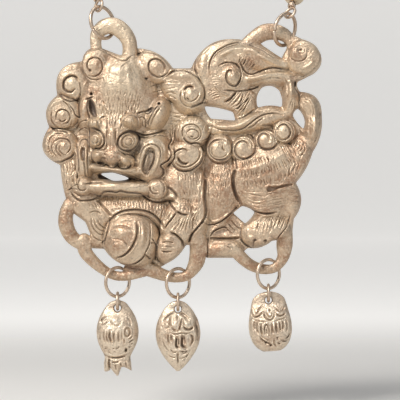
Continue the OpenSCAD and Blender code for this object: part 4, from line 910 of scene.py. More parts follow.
def mesh_of_sheet(relief, step, within, front, back, middle, patina_and_shade, place):
    """Joins front and back at the outline, cutting the grid's edge cells to its curve."""
    # points close to the outline are moved on to it
    px, py, d = relief.x.copy(), relief.y.copy(), within.copy()
    slope_y, slope_x = (g.ravel() for g in np.gradient(d.reshape(relief.shape), step))
    steep = np.maximum(slope_x ** 2 + slope_y ** 2, 0.25)
    edge = np.abs(d) < SNAP * step
    px[edge] -= (d * slope_x / steep)[edge]
    py[edge] -= (d * slope_y / steep)[edge]
    d[edge] = 0
    hf, hb = front.copy(), back.copy()
    hf[edge] = hb[edge] = middle[edge]

    # whole cells, then what is inside of the cells that the outline crosses
    grid = np.arange(len(d)).reshape(relief.shape)
    corners = np.stack([grid[:-1, :-1], grid[1:, :-1], grid[1:, 1:], grid[:-1, 1:]], -1)
    corners = corners.reshape(-1, 4)
    value = d[corners]
    some = (value > 0).any(1)
    faces = [list(c) for c in corners[some & (value >= 0).all(1)]]
    added, extra = {}, []

    def crossing(a, b):
        """The point on the outline between two grid points, made once."""
        key = (min(a, b), max(a, b))
        if key not in added:
            t = d[a] / (d[a] - d[b])
            added[key] = len(d) + len(extra)
            extra.append((px[a] + (px[b] - px[a]) * t, py[a] + (py[b] - py[a]) * t,
                          middle[a] + (middle[b] - middle[a]) * t, patina_and_shade[a],
                          relief.wear_and_light[a]))
        return added[key]

    for c in corners[some & (value < 0).any(1)]:
        face = []
        for a, b in zip(c, np.roll(c, -1)):
            if d[a] >= 0:
                face.append(a)
            if d[a] * d[b] < 0:
                face.append(crossing(a, b))
        if len(face) > 2:
            faces.append(face)

    # front and back share the points on the outline
    extra = np.reshape(extra, (-1, 5))
    px, py = np.append(px, extra[:, 0]), np.append(py, extra[:, 1])
    hf, hb = np.append(hf, extra[:, 2]), np.append(hb, extra[:, 2])
    tone = np.stack([np.append(patina_and_shade, extra[:, 3]), np.append(relief.wear_and_light, extra[:, 4])])
    shared = np.append(edge, np.ones(len(extra), bool))
    used = np.zeros(len(px), bool)
    used[np.concatenate(faces)] = True
    rear = used & ~shared
    front_at = np.cumsum(used) - 1
    back_at = np.where(shared, front_at, used.sum() + np.cumsum(rear) - 1)
    vertices = np.concatenate([place(px[used], py[used], hf[used]),
                               place(px[rear], py[rear], hb[rear])])
    tone = np.concatenate([tone[:, used], np.tile(BACK_TONE, rear.sum())], 1)
    polygons = [[front_at[k] for k in face] for face in faces]
    polygons += [[back_at[k] for k in reversed(face)] for face in faces]
    return vertices, polygons, tone


# ---- Fruit drops ----

# Outlines down each drop: y, half-width in cells, half-depth in millimetres
POMEGRANATE = [
    (300, 2, 0.7), (302.5, 8, 0.95), (308, 12.6, 1), (313, 16, 1.5), (319, 18.8, 2.7),
    (326, 20.6, 3.4), (333, 21, 3.6), (341, 19.8, 3.5), (348, 17, 3.1), (354, 13.8, 2.5),
    (358, 12.8, 2.2), (363, 13.6, 2.3), (367, 13.4, 2.2),
]
PEACH = [
    (300.5, 2, 0.7), (303, 8, 0.95), (309, 13.8, 1), (314, 17, 1.5), (320, 20, 2.7),
    (328, 22, 3.4), (336, 22.3, 3.5), (345, 20.4, 3.3), (353, 16.6, 2.7), (361, 11, 1.9),
    (367, 5.8, 1.1), (371, 1.4, 0.4),
]
MELON = [
    (291.6, 4, 0.7), (293.8, 10.2, 0.95), (298, 15.4, 1), (304, 17.6, 1.2), (310, 19, 2.2),
    (317, 20.6, 3), (325, 21.6, 3.4), (333, 21.2, 3.4), (341, 18.8, 3.1), (347, 14.6, 2.6),
    (351, 9, 2),
]
# Hole's centre x and y, and the drop's lean to the right in degrees
POMEGRANATE_AT = (117.6, 308, 0)
PEACH_AT = (178, 309, 0)
MELON_AT = (268.4, 300, 4)
# The crown's three points below the pomegranate's collar
CROWN = [
    (131.2, 362), (131.7, 370.6), (128.4, 369), (124.4, 367), (121.4, 367.2), (119.8, 371.5),
    (118.5, 375.4), (116.6, 375.7), (113.6, 372), (110.8, 368.4), (109.4, 370.6), (106.6, 371.6),
    (104.3, 371.2), (103.9, 362),
]
# Marks of the drops, in the forms of the lion's cuts, swells and wear
POMEGRANATE_CUTS = [
    (1, 0.4, 100.8, 321.2, 103, 318, 106.2, 316.2),
    (1, 0.4, 100.3, 324, 104.5, 323.3, 108.2, 320.3),
    (0.9, 0.3, 101, 322.6, 104.4, 321, 107.4, 318.4),
    (0.9, 0.3, 111, 319.5, 113, 323.4, 116.2, 324.8, 119.5, 324, 121.6, 321),
    (1, 0.45, 110.8, 329.3, 109.9, 334.5, 111, 338.5, 112.6, 341.6),
    (0.8, 0.3, 114.4, 331, 114.2, 336.5, 115, 342),
    (0.8, 0.3, 119.5, 330.5, 119, 335.5, 119.6, 340.5), (0.9, 0.35, 127.8, 327, 130, 329,
     130, 333.5, 127.8, 335.4, 125.6, 333.5, 125.6, 329, 127.8, 327),
    (0.8, 0.25, 122.6, 329.5, 122.2, 334, 122.8, 339.5), (0.9, 0.35, 100.3, 333.5, 100.6, 339.5),
    (0.8, 0.25, 104.6, 330, 104.4, 335, 105.4, 340.5),
    (0.8, 0.25, 107.6, 331, 107.2, 336, 108.4, 341), (0.8, 0.35, 129.4, 338.6, 133, 335.6),
    (0.8, 0.35, 129.6, 341.6, 133.6, 338.8), (0.8, 0.3, 130, 344.4, 133.2, 342),
    (0.7, 0.25, 108.2, 346.2, 106.6, 348, 105, 346.4),
    (0.7, 0.3, 119.8, 345.4, 118.2, 347.4, 116.2, 346.6), (0.7, 0.3, 113.8, 347.3, 114.6, 348.1),
    (0.7, 0.3, 115, 350.4, 116, 351), (1.3, 0.7, 126.6, 348, 126.2, 351),
    (0.9, 0.35, 128.6, 346.8, 131.4, 345.4), (0.8, 0.3, 124.8, 338, 125, 342.6),
    (0.8, 0.25, 128.2, 317.4, 130.4, 320, 131.2, 324), (0.8, 0.25, 109.4, 350.4, 110.4, 352.8),
    (0.8, 0.2, 102.4, 343, 103.4, 348),
    (1.1, 0.45, 101.2, 350.3, 103.6, 353.6, 107, 355.6, 113.7, 357, 122, 356.2, 129.5, 352.8),
    (1.2, 0.6, 109.4, 357.5, 109.5, 363, 109.8, 369),
    (1, 0.45, 111.4, 361.2, 115.5, 361.6, 119.8, 361), (0.9, 0.35, 129.8, 355.5, 130, 361),
    (0.8, 0.3, 115.6, 363.5, 116.2, 369.5), (0.8, 0.3, 121, 362, 121.2, 366),
    (0.8, 0.25, 126, 360, 126.6, 366.5), (0.9, 0.3, 105.6, 359, 106, 367),
]
POMEGRANATE_SWELLS = [
    (106.6, 346.2, 1.4, 1.4, 0, -0.2), (117.8, 345.8, 1.7, 1.7, 0, -0.2), (116, 319, 5, 4, 0, 0.3),
    (127.8, 331.2, 2, 3.8, 0, 0.25), (112.4, 335, 1.6, 5.5, -4, 0.25),
    (117, 335.5, 1.8, 5.5, 0, 0.25), (102.6, 319.8, 2.6, 1.6, -40, -0.25), (122, 344, 3, 3, 0, 0.2),
    (105.8, 335.6, 2.4, 5, 0, 0.2), (126.2, 349, 1.6, 2.6, 10, -0.35), (126, 342, 2.4, 3.4, 0, 0.2),
]
POMEGRANATE_WEAR = [
    (117, 319, 8, 7, 0, 0.8), (113, 337, 9, 6, 0, -0.7), (129.6, 321, 3, 6, 0, -0.7),
    (124, 341, 5, 4, 0, -0.5), (104, 334, 4, 9, 0, -0.4), (122, 330, 3.4, 6, 0, 0.5),
    (133, 342, 4, 8, 0, 0.4), (108, 350, 10, 4, 0, -0.3), (105, 320, 5, 5, 0, -0.3),
]
PEACH_CUTS = [
    (0.9, 0.45, 175.3, 311.4, 169.5, 314.6, 166.4, 317, 164, 320),
    (1.1, 0.6, 180.3, 312.8, 184, 315.6, 188, 319.6),
    (0.8, 0.4, 181.8, 312.4, 186, 315.4, 189.6, 318.4),
    (0.9, 0.4, 171.4, 315.4, 170.2, 319.5, 170.8, 324, 174, 328.7, 177.8, 330.4),
    (1, 0.55, 182, 318.6, 180.6, 324, 179, 330.2), (0.9, 0.5, 177.4, 315.6, 177.3, 318.8),
    (1.1, 0.6, 183.4, 325.6, 186, 328.2, 189, 328.8, 191.6, 327.8, 193.6, 325.6),
    (0.8, 0.4, 182.8, 319, 183.6, 322.5, 185.6, 325),
    (0.8, 0.25, 166, 320.5, 169, 322, 169.4, 325.6, 167, 327.4),
    (1.6, 0.6, 196.2, 318.5, 195.8, 324.5, 197.6, 330, 198.2, 338),
    (1, 0.4, 172, 334.2, 171.4, 337, 172.2, 340),
    (1, 0.65, 177.2, 336, 176.4, 341, 176.6, 345.4, 179, 346.4),
    (0.8, 0.45, 179, 336.4, 178.8, 344.2),
    (1.3, 0.7, 182.6, 335.2, 181.8, 340, 182.2, 344.6, 186.4, 347.2),
    (0.8, 0.45, 184.2, 335.4, 184.8, 342.4),
    (1.1, 0.5, 190.3, 333.4, 192.6, 336.6, 192.4, 340.6, 190.6, 344.6),
    (0.8, 0.3, 168.8, 333, 168.2, 338, 169.6, 343.5),
    (0.8, 0.3, 170, 332, 176, 333.4, 181, 332.2, 187, 332.8, 191, 331),
    (0.9, 0.45, 181, 350.4, 184.5, 351, 188.2, 350), (0.8, 0.4, 182, 353, 185, 352.4, 187, 351.4),
    (0.8, 0.3, 171, 349, 174, 351.6, 177, 350.4), (0.8, 0.3, 169, 354.4, 173, 357, 176.4, 356),
    (0.9, 0.4, 178, 352, 177.6, 357, 178.2, 362.5), (0.8, 0.3, 180, 358, 184, 356.8, 187.6, 354),
    (0.8, 0.25, 163, 341, 165.4, 346, 168.6, 350), (0.8, 0.25, 190, 349, 187, 355, 183, 361),
]
PEACH_SWELLS = [
    (175.6, 322.6, 4.6, 7, 14, 0.5), (188, 323.6, 4.6, 3.6, 20, 0.5), (167, 323.4, 3, 4, 0, 0.3),
    (174.4, 340, 2.2, 6.4, 4, 0.35), (183.4, 338.6, 1.7, 4.6, 0, -0.5),
    (180.4, 340.6, 1.6, 6, 0, 0.4), (187.4, 339.6, 2.6, 6.4, 0, 0.4), (197, 328, 1.8, 9, 0, -0.35),
    (176.6, 357, 1.2, 8, 0, 0.3), (178.4, 349.4, 6, 1.6, 0, 0.3),
]
PEACH_WEAR = [
    (175, 321, 6, 8, 0, 0.8), (188, 323, 5, 4, 0, 0.5), (197.6, 328, 3, 13, 0, -1.4),
    (164, 334, 6, 12, 0, -0.4), (183.6, 340, 3, 5, 0, -1.6), (177.4, 341, 2.4, 5, 0, -1.2),
    (191, 339, 3, 6, 0, -0.3), (180, 356, 9, 6, 0, 0.3), (172, 309, 8, 5, -30, 0.4),
]
MELON_CUTS = [
    (1, 0.45, 262.6, 311.4, 263.4, 315, 265.2, 317.6, 268.4, 319.3, 271.2, 317.4, 272.6, 314.8,
     273.4, 311), (0.8, 0.35, 265, 311.6, 266.4, 315, 268.6, 316.4, 270.6, 314.6, 271.4, 311.6),
    (0.8, 0.4, 268.7, 308.8, 268.7, 310.9),
    (0.8, 0.35, 262.3, 304.7, 258.3, 308, 256.3, 311.2, 253.7, 312),
    (0.9, 0.4, 250, 311.3, 252, 314.4, 254.6, 315.6, 257.4, 314.6, 260, 312.6, 262, 311.2),
    (0.8, 0.35, 273.7, 306.6, 276, 310, 278.6, 311.6, 281.6, 310.8, 283.9, 308),
    (0.9, 0.4, 274.2, 313, 277, 315.8, 280.4, 316, 284, 314),
    (0.8, 0.3, 252, 318, 258, 319.6, 264, 321), (0.8, 0.3, 273, 320.6, 279, 319.2, 285, 317.6),
    (1.1, 0.45, 252.6, 320, 252.2, 324, 252.8, 328), (1, 0.4, 254.8, 320, 254.4, 326, 255.4, 331.5),
    (1, 0.4, 259, 323, 258.6, 328.5, 259.6, 334.4),
    (0.9, 0.4, 262.2, 332.6, 262, 327.5, 264, 323.6, 266, 327, 266.2, 335.2),
    (0.8, 0.35, 264.2, 327, 264.2, 333), (0.8, 0.3, 269.6, 323, 269.8, 332),
    (0.8, 0.35, 274.2, 322, 273.6, 327, 274.4, 332),
    (0.8, 0.35, 277.6, 321.6, 277.6, 326.5, 278.4, 331),
    (0.9, 0.4, 280.4, 321, 280.8, 325.5, 280, 330), (0.8, 0.3, 284.4, 320, 284.8, 326, 283.8, 332),
    (1, 0.45, 257, 335.6, 259.4, 338.4, 262.4, 340.4, 267.4, 343.6),
    (0.8, 0.35, 258.6, 334.8, 262, 337.4, 266.4, 339.6), (1, 0.5, 262, 341, 263.4, 342.6),
    (0.9, 0.5, 266.4, 344, 268, 345), (0.8, 0.4, 273.6, 336.6, 275, 338.2),
    (0.8, 0.4, 274.6, 342.6, 276.4, 343.8), (0.9, 0.45, 282.8, 339, 285.4, 336.8, 287.2, 333.8),
    (0.8, 0.35, 278, 340, 281.4, 341.6, 285, 339.8), (0.8, 0.3, 271, 338, 270.6, 342, 272.4, 346),
    (1.2, 0.5, 288.6, 314, 289.4, 318, 289.6, 323),
]
MELON_SWELLS = [
    (256.8, 326, 1.8, 5.6, 0, 0.3), (260.8, 328.4, 1.4, 5.6, 0, 0.3),
    (271.6, 326.6, 1.8, 5.6, 0, 0.35), (276, 326.6, 1.4, 5, 0, 0.3),
    (283, 325.8, 1.4, 5.4, 0, 0.35), (268.6, 313.6, 2.4, 2.4, 0, 0.4),
    (255.6, 312.6, 4, 2.6, 0, 0.3), (279, 312.4, 4.4, 2.6, 0, 0.3), (263, 339, 4, 2, 30, 0.3),
    (280, 336.6, 4, 3, -20, 0.3), (268, 330, 1.2, 5, 0, 0.2),
]
MELON_WEAR = [
    (254, 324, 3.4, 9, 0, -1.2), (255, 308, 4, 6, 0, -0.4), (280, 309, 6, 4, 0, -0.6),
    (275, 327, 5, 7, 0, -0.6), (268.6, 314, 4, 4, 0, 0.6), (274, 338, 3, 4, 0, -0.7),
    (261, 341, 6, 3, 30, -0.5), (266, 344, 3, 2, 0, -0.8), (262, 304, 6, 5, 0, 0.4),
]
# Step of a drop's grid, its reach to each side and beyond each end, in cells
FRUIT_STEP, FRUIT_REACH, FRUIT_BEYOND = 0.3, 27, 2
# The bore: radius and rounded rim in cells, then the width and darkness of the darkening round it
HOLE, HOLE_RIM, HOLE_DARK_REACH, HOLE_DARK = 3.3, 1.3, 1.2, 0.5
# The crown: its run in cells, depth at its foot and how much is lost on the way, and its edge
CROWN_RUN, CROWN_DEEP, CROWN_LOST, CROWN_EDGE = 13, 2.3, 1.5, 3
# Marks against the table's width and depth, then how they fade and how dark they are
MARK_WIDTH, MARK_DEPTH, MARK_FADE, MARK_DARK = 1.5, 1.2, 0.2, 0.75
# Share of the marks' stain that is kept, and the darkness of recesses with its softening
FRUIT_STAIN, FRUIT_DARK, FRUIT_SOFT = 0.8, 1.2, 4
# Roundness across, and the least half-thickness in millimetres
FRUIT_ROUND, FRUIT_LEAST = 0.8, 0.02


def cast_fruit(rows, at, cuts, swells, wear_and_light, points=()):
    """A drop's closed mesh, pierced at its hole, with the same relief front and back."""
    mid_x, hole_y, tilt = at
    foot = points[0][1] if points else math.inf
    rows = curved(rows)
    top, low = rows[0, 0], rows[-1, 0]
    lowest = max([low] + [y for _, y in points])
    xs = np.arange(mid_x - FRUIT_REACH, mid_x + FRUIT_REACH + 0.01, FRUIT_STEP)
    ys = np.arange(top - FRUIT_BEYOND, lowest + FRUIT_BEYOND + 0.01, FRUIT_STEP)
    relief = Relief(*np.meshgrid(xs, ys), np.zeros(len(xs) * len(ys)))
    x, y = relief.x - mid_x, relief.y

    # distance inside the outline, and from the bore
    kept = rows[rows[:, 0] < foot]
    right = np.stack([mid_x + kept[:, 1], kept[:, 0]], 1)
    left = np.stack([mid_x - kept[:, 1], kept[:, 0]], 1)
    ring = np.concatenate([right, np.reshape(points, (-1, 2)), left[::-1], right[:1]])
    _, gap, _ = relief.near(ring, FAR)
    within = np.where(inside(relief.x, relief.y, ring), gap, -gap)
    from_hole = np.hypot(x, y - hole_y) - HOLE

    # the rounded body, and the crown in place of it below its foot
    wide = np.interp(y, rows[:, 0], rows[:, 1])
    deep = np.interp(y, rows[:, 0], rows[:, 2])
    body = deep * np.sqrt(np.maximum(1 - (x / wide) ** 2, 0)) ** FRUIT_ROUND
    if points:
        tip = np.clip((y - foot) / CROWN_RUN, 0, 1)
        crown = (CROWN_DEEP - CROWN_LOST * tip) * quarter(within / CROWN_EDGE)
        body = np.where(y > foot - 1, crown, body)

    # the marks
    for row in swells:
        relief.swell(*row)
    for width, depth, *line in cuts:
        relief.line((width * MARK_WIDTH, depth * MARK_DEPTH, *line), -1, MARK_FADE, MARK_DARK)
    for row in wear_and_light:
        relief.wear_and_light_patch(*row)
    near = blurred(relief.height, relief.shape, FRUIT_SOFT) - relief.height
    by_hole = HOLE_DARK * np.exp(-(np.maximum(from_hole, 0) / HOLE_DARK_REACH) ** 2)
    patina_and_shade = np.clip(relief.patina_and_shade * FRUIT_STAIN + near * FRUIT_DARK + by_hole, -1, 1)

    # rounded ends, rim and edge
    end = quarter((y - top + 0.4) / 2)
    if not points:
        end = end * quarter((low + 0.6 - y) / 3)
    rim = quarter(from_hole / HOLE_RIM)
    half = body * end * rim + relief.height * np.clip(within / 3, 0, 1) * rim
    front = np.maximum(half, FRUIT_LEAST)
    within = np.minimum(within, from_hole)
    lean = math.radians(-tilt)

    def place(px, py, h):
        """The place in metres of points of the drop's grid, leaning about its hole."""
        dx, dz = (px - mid_x) * CELL, (hole_y - py) * CELL
        return np.stack([(mid_x - MID_X) * CELL + dx * math.cos(lean) + dz * math.sin(lean),
                         PLANE_Y - h * MM,
                         MIDDLE_Z + (MID_Y - hole_y) * CELL - dx * math.sin(lean)
                         + dz * math.cos(lean)], 1)

    middle = np.zeros(len(x))
    return mesh_of_sheet(relief, FRUIT_STEP, within, front, -front, middle, patina_and_shade, place)


# ---- Wire, chain and beads ----

def tube(path, radii, sides=16, closed=False):
    """A round tube along a path, capped at its ends unless it is closed."""
    path = [Vector(p) for p in path]
    n = len(path)
    radii = [float(r) for r in np.broadcast_to(radii, n)]
    ahead = [(path[(k + 1) % n if closed else min(k + 1, n - 1)]
              - path[k - 1 if closed else max(k - 1, 0)]).normalized() for k in range(n)]
    side = ahead[0].orthogonal().normalized()
    vertices, faces = [], []
    across = []
    for k in range(n):
        side = (side - ahead[k] * side.dot(ahead[k])).normalized()
        across.append(side)
    twist = 0.0
    if closed:
        last = (across[-1] - ahead[0] * across[-1].dot(ahead[0])).normalized()
        twist = math.atan2(last.cross(across[0]).dot(ahead[0]), last.dot(across[0]))
    for k in range(n):
        up = ahead[k].cross(across[k])
        for j in range(sides):
            a = 2 * math.pi * j / sides + twist * k / n
            vertices.append(path[k] + radii[k] * (math.cos(a) * across[k] + math.sin(a) * up))
    for k in range(n if closed else n - 1):
        for j in range(sides):
            a, b = k * sides + j, k * sides + (j + 1) % sides
            c, d = ((k + 1) % n) * sides + j, ((k + 1) % n) * sides + (j + 1) % sides
            faces.append((a, b, d, c))
    if not closed:
        faces.append(tuple(range(sides - 1, -1, -1)))
        faces.append(tuple((n - 1) * sides + j for j in range(sides)))
    return [tuple(v) for v in vertices], faces


def joined(parts):
    """Several lists of vertices and faces as one."""
    vertices, faces = [], []
    for new_vertices, new_faces in parts:
        start = len(vertices)
        vertices += new_vertices
        faces += [tuple(k + start for k in face) for face in new_faces]
    return vertices, faces


def moved(part, matrix):
    """Vertices moved by a matrix, with their faces."""
    return [tuple(matrix @ Vector(v)) for v in part[0]], part[1]


def cut_ring(radius, wire, joint, split=0.00005):
    """A round wire ring about Z whose ends meet at an angle, a hair apart."""
    half = math.asin(split / radius)
    angles = np.linspace(joint + half, joint + 2 * math.pi - half, 97)
    path = [(radius * math.cos(a), radius * math.sin(a), 0) for a in angles]
    radii = np.full(len(path), wire / 2)
    # narrower where the wire is cut
    radii[[0, -1]] *= 0.8
    radii[[1, -2]] *= 0.97
    return tube(path, radii, 20)


def eye(radius, sides):
    """A closed eye of fine wire about Z, its radius in millimetres."""
    path = [(radius * MM * math.cos(a), radius * MM * math.sin(a), 0)
            for a in np.linspace(0, 2 * math.pi, sides, endpoint=False)]
    return tube(path, FINE_R * MM, closed=True)


def turned(x=0, y=0, z=0):
    """Turns in degrees about X, then Y, then Z."""
    return (Matrix.Rotation(math.radians(z), 4, "Z") @ Matrix.Rotation(math.radians(y), 4, "Y")
            @ Matrix.Rotation(math.radians(x), 4, "X"))


def grid_place(x, y, forward=0):
    """The move to a point of the design grid, some millimetres before the plane of the bars."""
    return Matrix.Translation(((x - MID_X) * CELL, PLANE_Y - forward * MM,
                               MIDDLE_Z + (MID_Y - y) * CELL))


# Measures of the rings and the neck loop, in millimetres and degrees
NECK_R, LOOP_DROP, LOOP_TILT = 60, 230, 32
LINK_WIRE, LINK_W, LINK_L, LINK_GAP = 0.8, 3.7, 6, 0.15
RING_WIRE, RING_R, LOWER_WIRE, LOWER_R = 1.0, 4.36, 0.9, 3.9
FINE_WIRE, CONNECTOR_R, BEAD_D, CLASP_L = 0.8, 2.2, 6, 10
EYE_R, LOWER_TURN = 1.55, 38
# Gaps between an eye and its ring, a bead and its wire, a connector and its lower ring
EYE_GAP, BORE_GAP, CONNECTOR_GAP = 0.22, 0.15, 0.12


def ring_top(x, y, tip):
    """The top of an upper ring, across and up from the middle of the grid."""
    tip = math.radians(tip)
    return ((x - MID_X) * CELL / MM + RING_R * math.sin(tip),
            (MID_Y - y) * CELL / MM + RING_R * math.cos(tip))


LEFT_TOP, RIGHT_TOP = (ring_top(x, y, tip) for x, y, _, tip, _ in UPPER_RINGS)
# Each side runs straight from its ring's top, then round the arc of the nape
SWING_X = (RIGHT_TOP[0] - LEFT_TOP[0]) / 2
RUN_X = LOOP_DROP - NECK_R
RUN_D = math.hypot(SWING_X, RUN_X)
RUN_L = math.sqrt(RUN_D ** 2 - NECK_R ** 2)
TURN_START = math.degrees(math.atan2(SWING_X, RUN_X) + math.acos(NECK_R / RUN_D))
STRAND_L = RUN_L + NECK_R * math.radians(180 - TURN_START)
# Distances along a side from the ring's top: eye, wraps, bead, far eye, chain and clasp
FINE_R = FINE_WIRE / 2
EYE_MID = EYE_R - (FINE_R + RING_WIRE / 2 + EYE_GAP)
WRAP_START = EYE_MID + EYE_R + FINE_WIRE
WRAP_R = WRAP_PITCH = FINE_WIRE * 0.9
WRAP_TURNS = 2.2
BEAD_MID = WRAP_START + 1.5 * WRAP_PITCH + 0.1 + BEAD_D / 2
STEM_HALF = BEAD_MID - EYE_MID - EYE_R
WIRE_END = 2 * BEAD_MID - EYE_MID
LINK_R = (LINK_W - LINK_WIRE) / 2
LINK_STRAIGHT = LINK_L - LINK_W
LINK_HALF = LINK_STRAIGHT / 2 + LINK_R
CHAIN_START = WIRE_END + EYE_R - FINE_R - LINK_WIRE / 2 - LINK_GAP + LINK_HALF
CLASP_R, CLASP_EYE_R = 1.8, 1.3
CLASP_EYE_MID = CLASP_L / 2 + CLASP_EYE_R - 0.2
CLASP_REACH = CLASP_EYE_MID + CLASP_EYE_R - FINE_R - LINK_WIRE / 2 - 1.6 * LINK_GAP
CHAIN_RUN = STRAND_L - CLASP_REACH - LINK_HALF - CHAIN_START
LINK_N = 2 * math.ceil(CHAIN_RUN / (2 * LINK_HALF - LINK_WIRE - LINK_GAP) / 2 + 0.5)
PITCH = CHAIN_RUN / (LINK_N - 1)


def on_loop(side, s):
    """The place on the neck loop at a distance along a strand: +Y runs on, +X is outward."""
    share = min(s / RUN_L, 1)
    a = TURN_START + math.degrees(max(s - RUN_L, 0) / NECK_R)
    x, y = NECK_R * math.sin(math.radians(a)), NECK_R * (1 + math.cos(math.radians(a)))
    x, y = SWING_X + (x - SWING_X) * share, LOOP_DROP + (y - LOOP_DROP) * share
    mid = (LEFT_TOP[0] + RIGHT_TOP[0]) / 2 * (1 - share)
    rise = side * (RIGHT_TOP[1] - LEFT_TOP[1]) / 2 * (1 - share)
    return (Matrix.Translation(Vector((mid, 0, rise)) * MM) @ turned(x=90 - LOOP_TILT)
            @ Matrix.Translation(Vector((side * x, -y, 0)) * MM) @ turned(z=side * (a - 90)))


def eye_roll(side, turn, tip):
    """Roll of the eye that holds an upper ring, so that the ring's strand runs through it."""
    lean = math.radians(side * (TURN_START - 90))
    turn, tip, tilt = (math.radians(v) for v in (turn, tip, LOOP_TILT))
    strand = Vector((math.cos(turn) * math.cos(tip), math.sin(turn),
                     -math.cos(turn) * math.sin(tip)))
    across = Vector((math.cos(lean), math.sin(lean) * math.sin(tilt),
                     math.sin(lean) * math.cos(tilt)))
    front = Vector((0, -math.cos(tilt), math.sin(tilt)))
    return math.degrees(math.atan2(strand.dot(across), strand.dot(front)))


def bead_wire(side):
    """The straight wire through a bead, turned into an eye and wrapped at each end."""
    _, _, turn, tip, _ = UPPER_RINGS[0 if side < 0 else 1]
    to_bead = on_loop(side, BEAD_MID) @ turned(x=-90)
    parts = [moved(tube([(0, 0, -STEM_HALF * MM), (0, 0, STEM_HALF * MM)], FINE_R * 0.92 * MM),
                   to_bead)]
    start = BEAD_MID - WRAP_START - WRAP_TURNS / 2 * WRAP_PITCH
    last = BEAD_MID - WRAP_START + 0.1
    for end, s, roll in ((-1, EYE_MID, eye_roll(side, turn, tip)), (1, WIRE_END, 90)):
        parts.append(moved(eye(EYE_R, 64), on_loop(side, s) @ turned(y=roll)))
        turns = np.linspace(0, WRAP_TURNS * 2 * math.pi, 56)
        height = start + WRAP_PITCH * turns / (2 * math.pi)
        wrap = [(WRAP_R * MM * math.cos(a), WRAP_R * MM * math.sin(a), end * min(h, last) * MM)
                for a, h in zip(turns, height)]
        radii = np.full(len(wrap), FINE_R * MM)
        radii[-1] *= 0.7
        parts.append(moved(tube(wrap, radii, 14), to_bead))
    return joined(parts)


def lathe(profile, sides=64):
    """A closed ring of revolution about Z from (radius, height) points."""
    n = len(profile)
    vertices = [(r * math.cos(2 * math.pi * k / sides), r * math.sin(2 * math.pi * k / sides), h)
                for k in range(sides) for r, h in profile]
    faces = [(k * n + j, ((k + 1) % sides) * n + j, ((k + 1) % sides) * n + (j + 1) % n,
              k * n + (j + 1) % n) for k in range(sides) for j in range(n)]
    return vertices, faces


def bead(side):
    """A drilled round bead with a softened bore."""
    r, bore = BEAD_D / 2 * MM, (FINE_R + BORE_GAP) * MM
    top = math.acos(bore / r) - 0.06
    outer = [(r * math.cos(a), r * math.sin(a)) for a in np.linspace(-top, top, 41)]
    inner_z = outer[-1][1] - 0.2 * MM
    profile = outer + [(bore * 1.06, inner_z + 0.12 * MM), (bore, inner_z), (bore, 0),
                       (bore, -inner_z), (bore * 1.06, -inner_z - 0.12 * MM)]
    return moved(lathe(profile), on_loop(side, BEAD_MID) @ turned(x=90))


def clasp():
    """A closed barrel with a turned band at each end and a wire eye beyond each band."""
    r, half = CLASP_R * MM, CLASP_L / 2 * MM
    shape = [(0.35, -1), (0.8, -1), (0.97, -0.97), (1, -0.93), (1, -0.84), (0.96, -0.82),
             (0.93, -0.8), (0.93, -0.76), (0.96, -0.73), (0.97, -0.5), (0.98, 0)]
    profile = [(r * a, half * b) for a, b in shape]
    profile += [(a, -b) for a, b in reversed(profile[:-1])]
    frame_at = turned(x=90 - LOOP_TILT)
    parts = [moved(lathe(profile + [(r * 0.2, half * 0.9), (r * 0.2, -half * 0.9)]),
                   frame_at @ turned(y=90))]
    for side in (-1, 1):
        place = frame_at @ Matrix.Translation((side * CLASP_EYE_MID * MM, 0, 0))
        parts.append(moved(eye(CLASP_EYE_R, 48), place))
    return joined(parts)


def oval_link():
    """One link of round wire with a faint soldered swelling on one side."""
    path, radii = [], []
    for end, start in ((1, 0), (-1, math.pi)):
        for a in np.linspace(start, start + math.pi, 15):
            path.append((LINK_R * MM * math.cos(a),
                         (LINK_R * math.sin(a) + end * LINK_STRAIGHT / 2) * MM, 0))
            radii.append(LINK_WIRE / 2 * MM)
        path.append((-end * LINK_R * MM, 0, 0))
        radii.append(LINK_WIRE / 2 * MM * (1.05 if end > 0 else 1))
    return tube(path, radii, 12, closed=True)


def link_nodes():
    """Node group that puts a link on every point, turned as the point says."""
    group = bpy.data.node_groups.new("links_on_loop", "GeometryNodeTree")
    for name, kind in (("Points", "Geometry"), ("Link", "Object"), ("Metal", "Material")):
        group.interface.new_socket(name, in_out="INPUT", socket_type="NodeSocket" + kind)
    group.interface.new_socket("Chain", in_out="OUTPUT", socket_type="NodeSocketGeometry")
    new = group.nodes.new
    start, end = new("NodeGroupInput"), new("NodeGroupOutput")
    info, turn = new("GeometryNodeObjectInfo"), new("GeometryNodeInputNamedAttribute")
    turn.data_type = "FLOAT_VECTOR"
    turn.inputs["Name"].default_value = "turn"
    rotation, place = new("FunctionNodeEulerToRotation"), new("GeometryNodeInstanceOnPoints")
    real, metal = new("GeometryNodeRealizeInstances"), new("GeometryNodeSetMaterial")
    for source, out, target, into in (
            (start, "Points", place, "Points"), (start, "Link", info, "Object"),
            (info, "Geometry", place, "Instance"), (turn, 0, rotation, 0),
            (rotation, 0, place, "Rotation"), (place, "Instances", real, 0),
            (real, 0, metal, "Geometry"), (start, "Metal", metal, "Material"),
            (metal, 0, end, "Chain")):
        group.links.new(source.outputs[out], target.inputs[into])
    return group


def piece(name, vertices, polygons, material, tone=None):
    """A mesh object at the origin with one material."""
    mesh = bpy.data.meshes.new(name)
    mesh.from_pydata([tuple(v) for v in vertices], [], [tuple(int(k) for k in p) for p in polygons])
    for key, values in zip(("patina_and_shade", "wear_and_light"), () if tone is None else tone):
        layer = mesh.attributes.new(key, "FLOAT", "POINT")
        layer.data.foreach_set("value", np.asarray(values, np.float32))
    mesh.validate()
    mesh.materials.append(material)
    mesh.polygons.foreach_set("use_smooth", [True] * len(mesh.polygons))
    made = bpy.data.objects.new(name, mesh)
    bpy.context.scene.collection.objects.link(made)
    return made


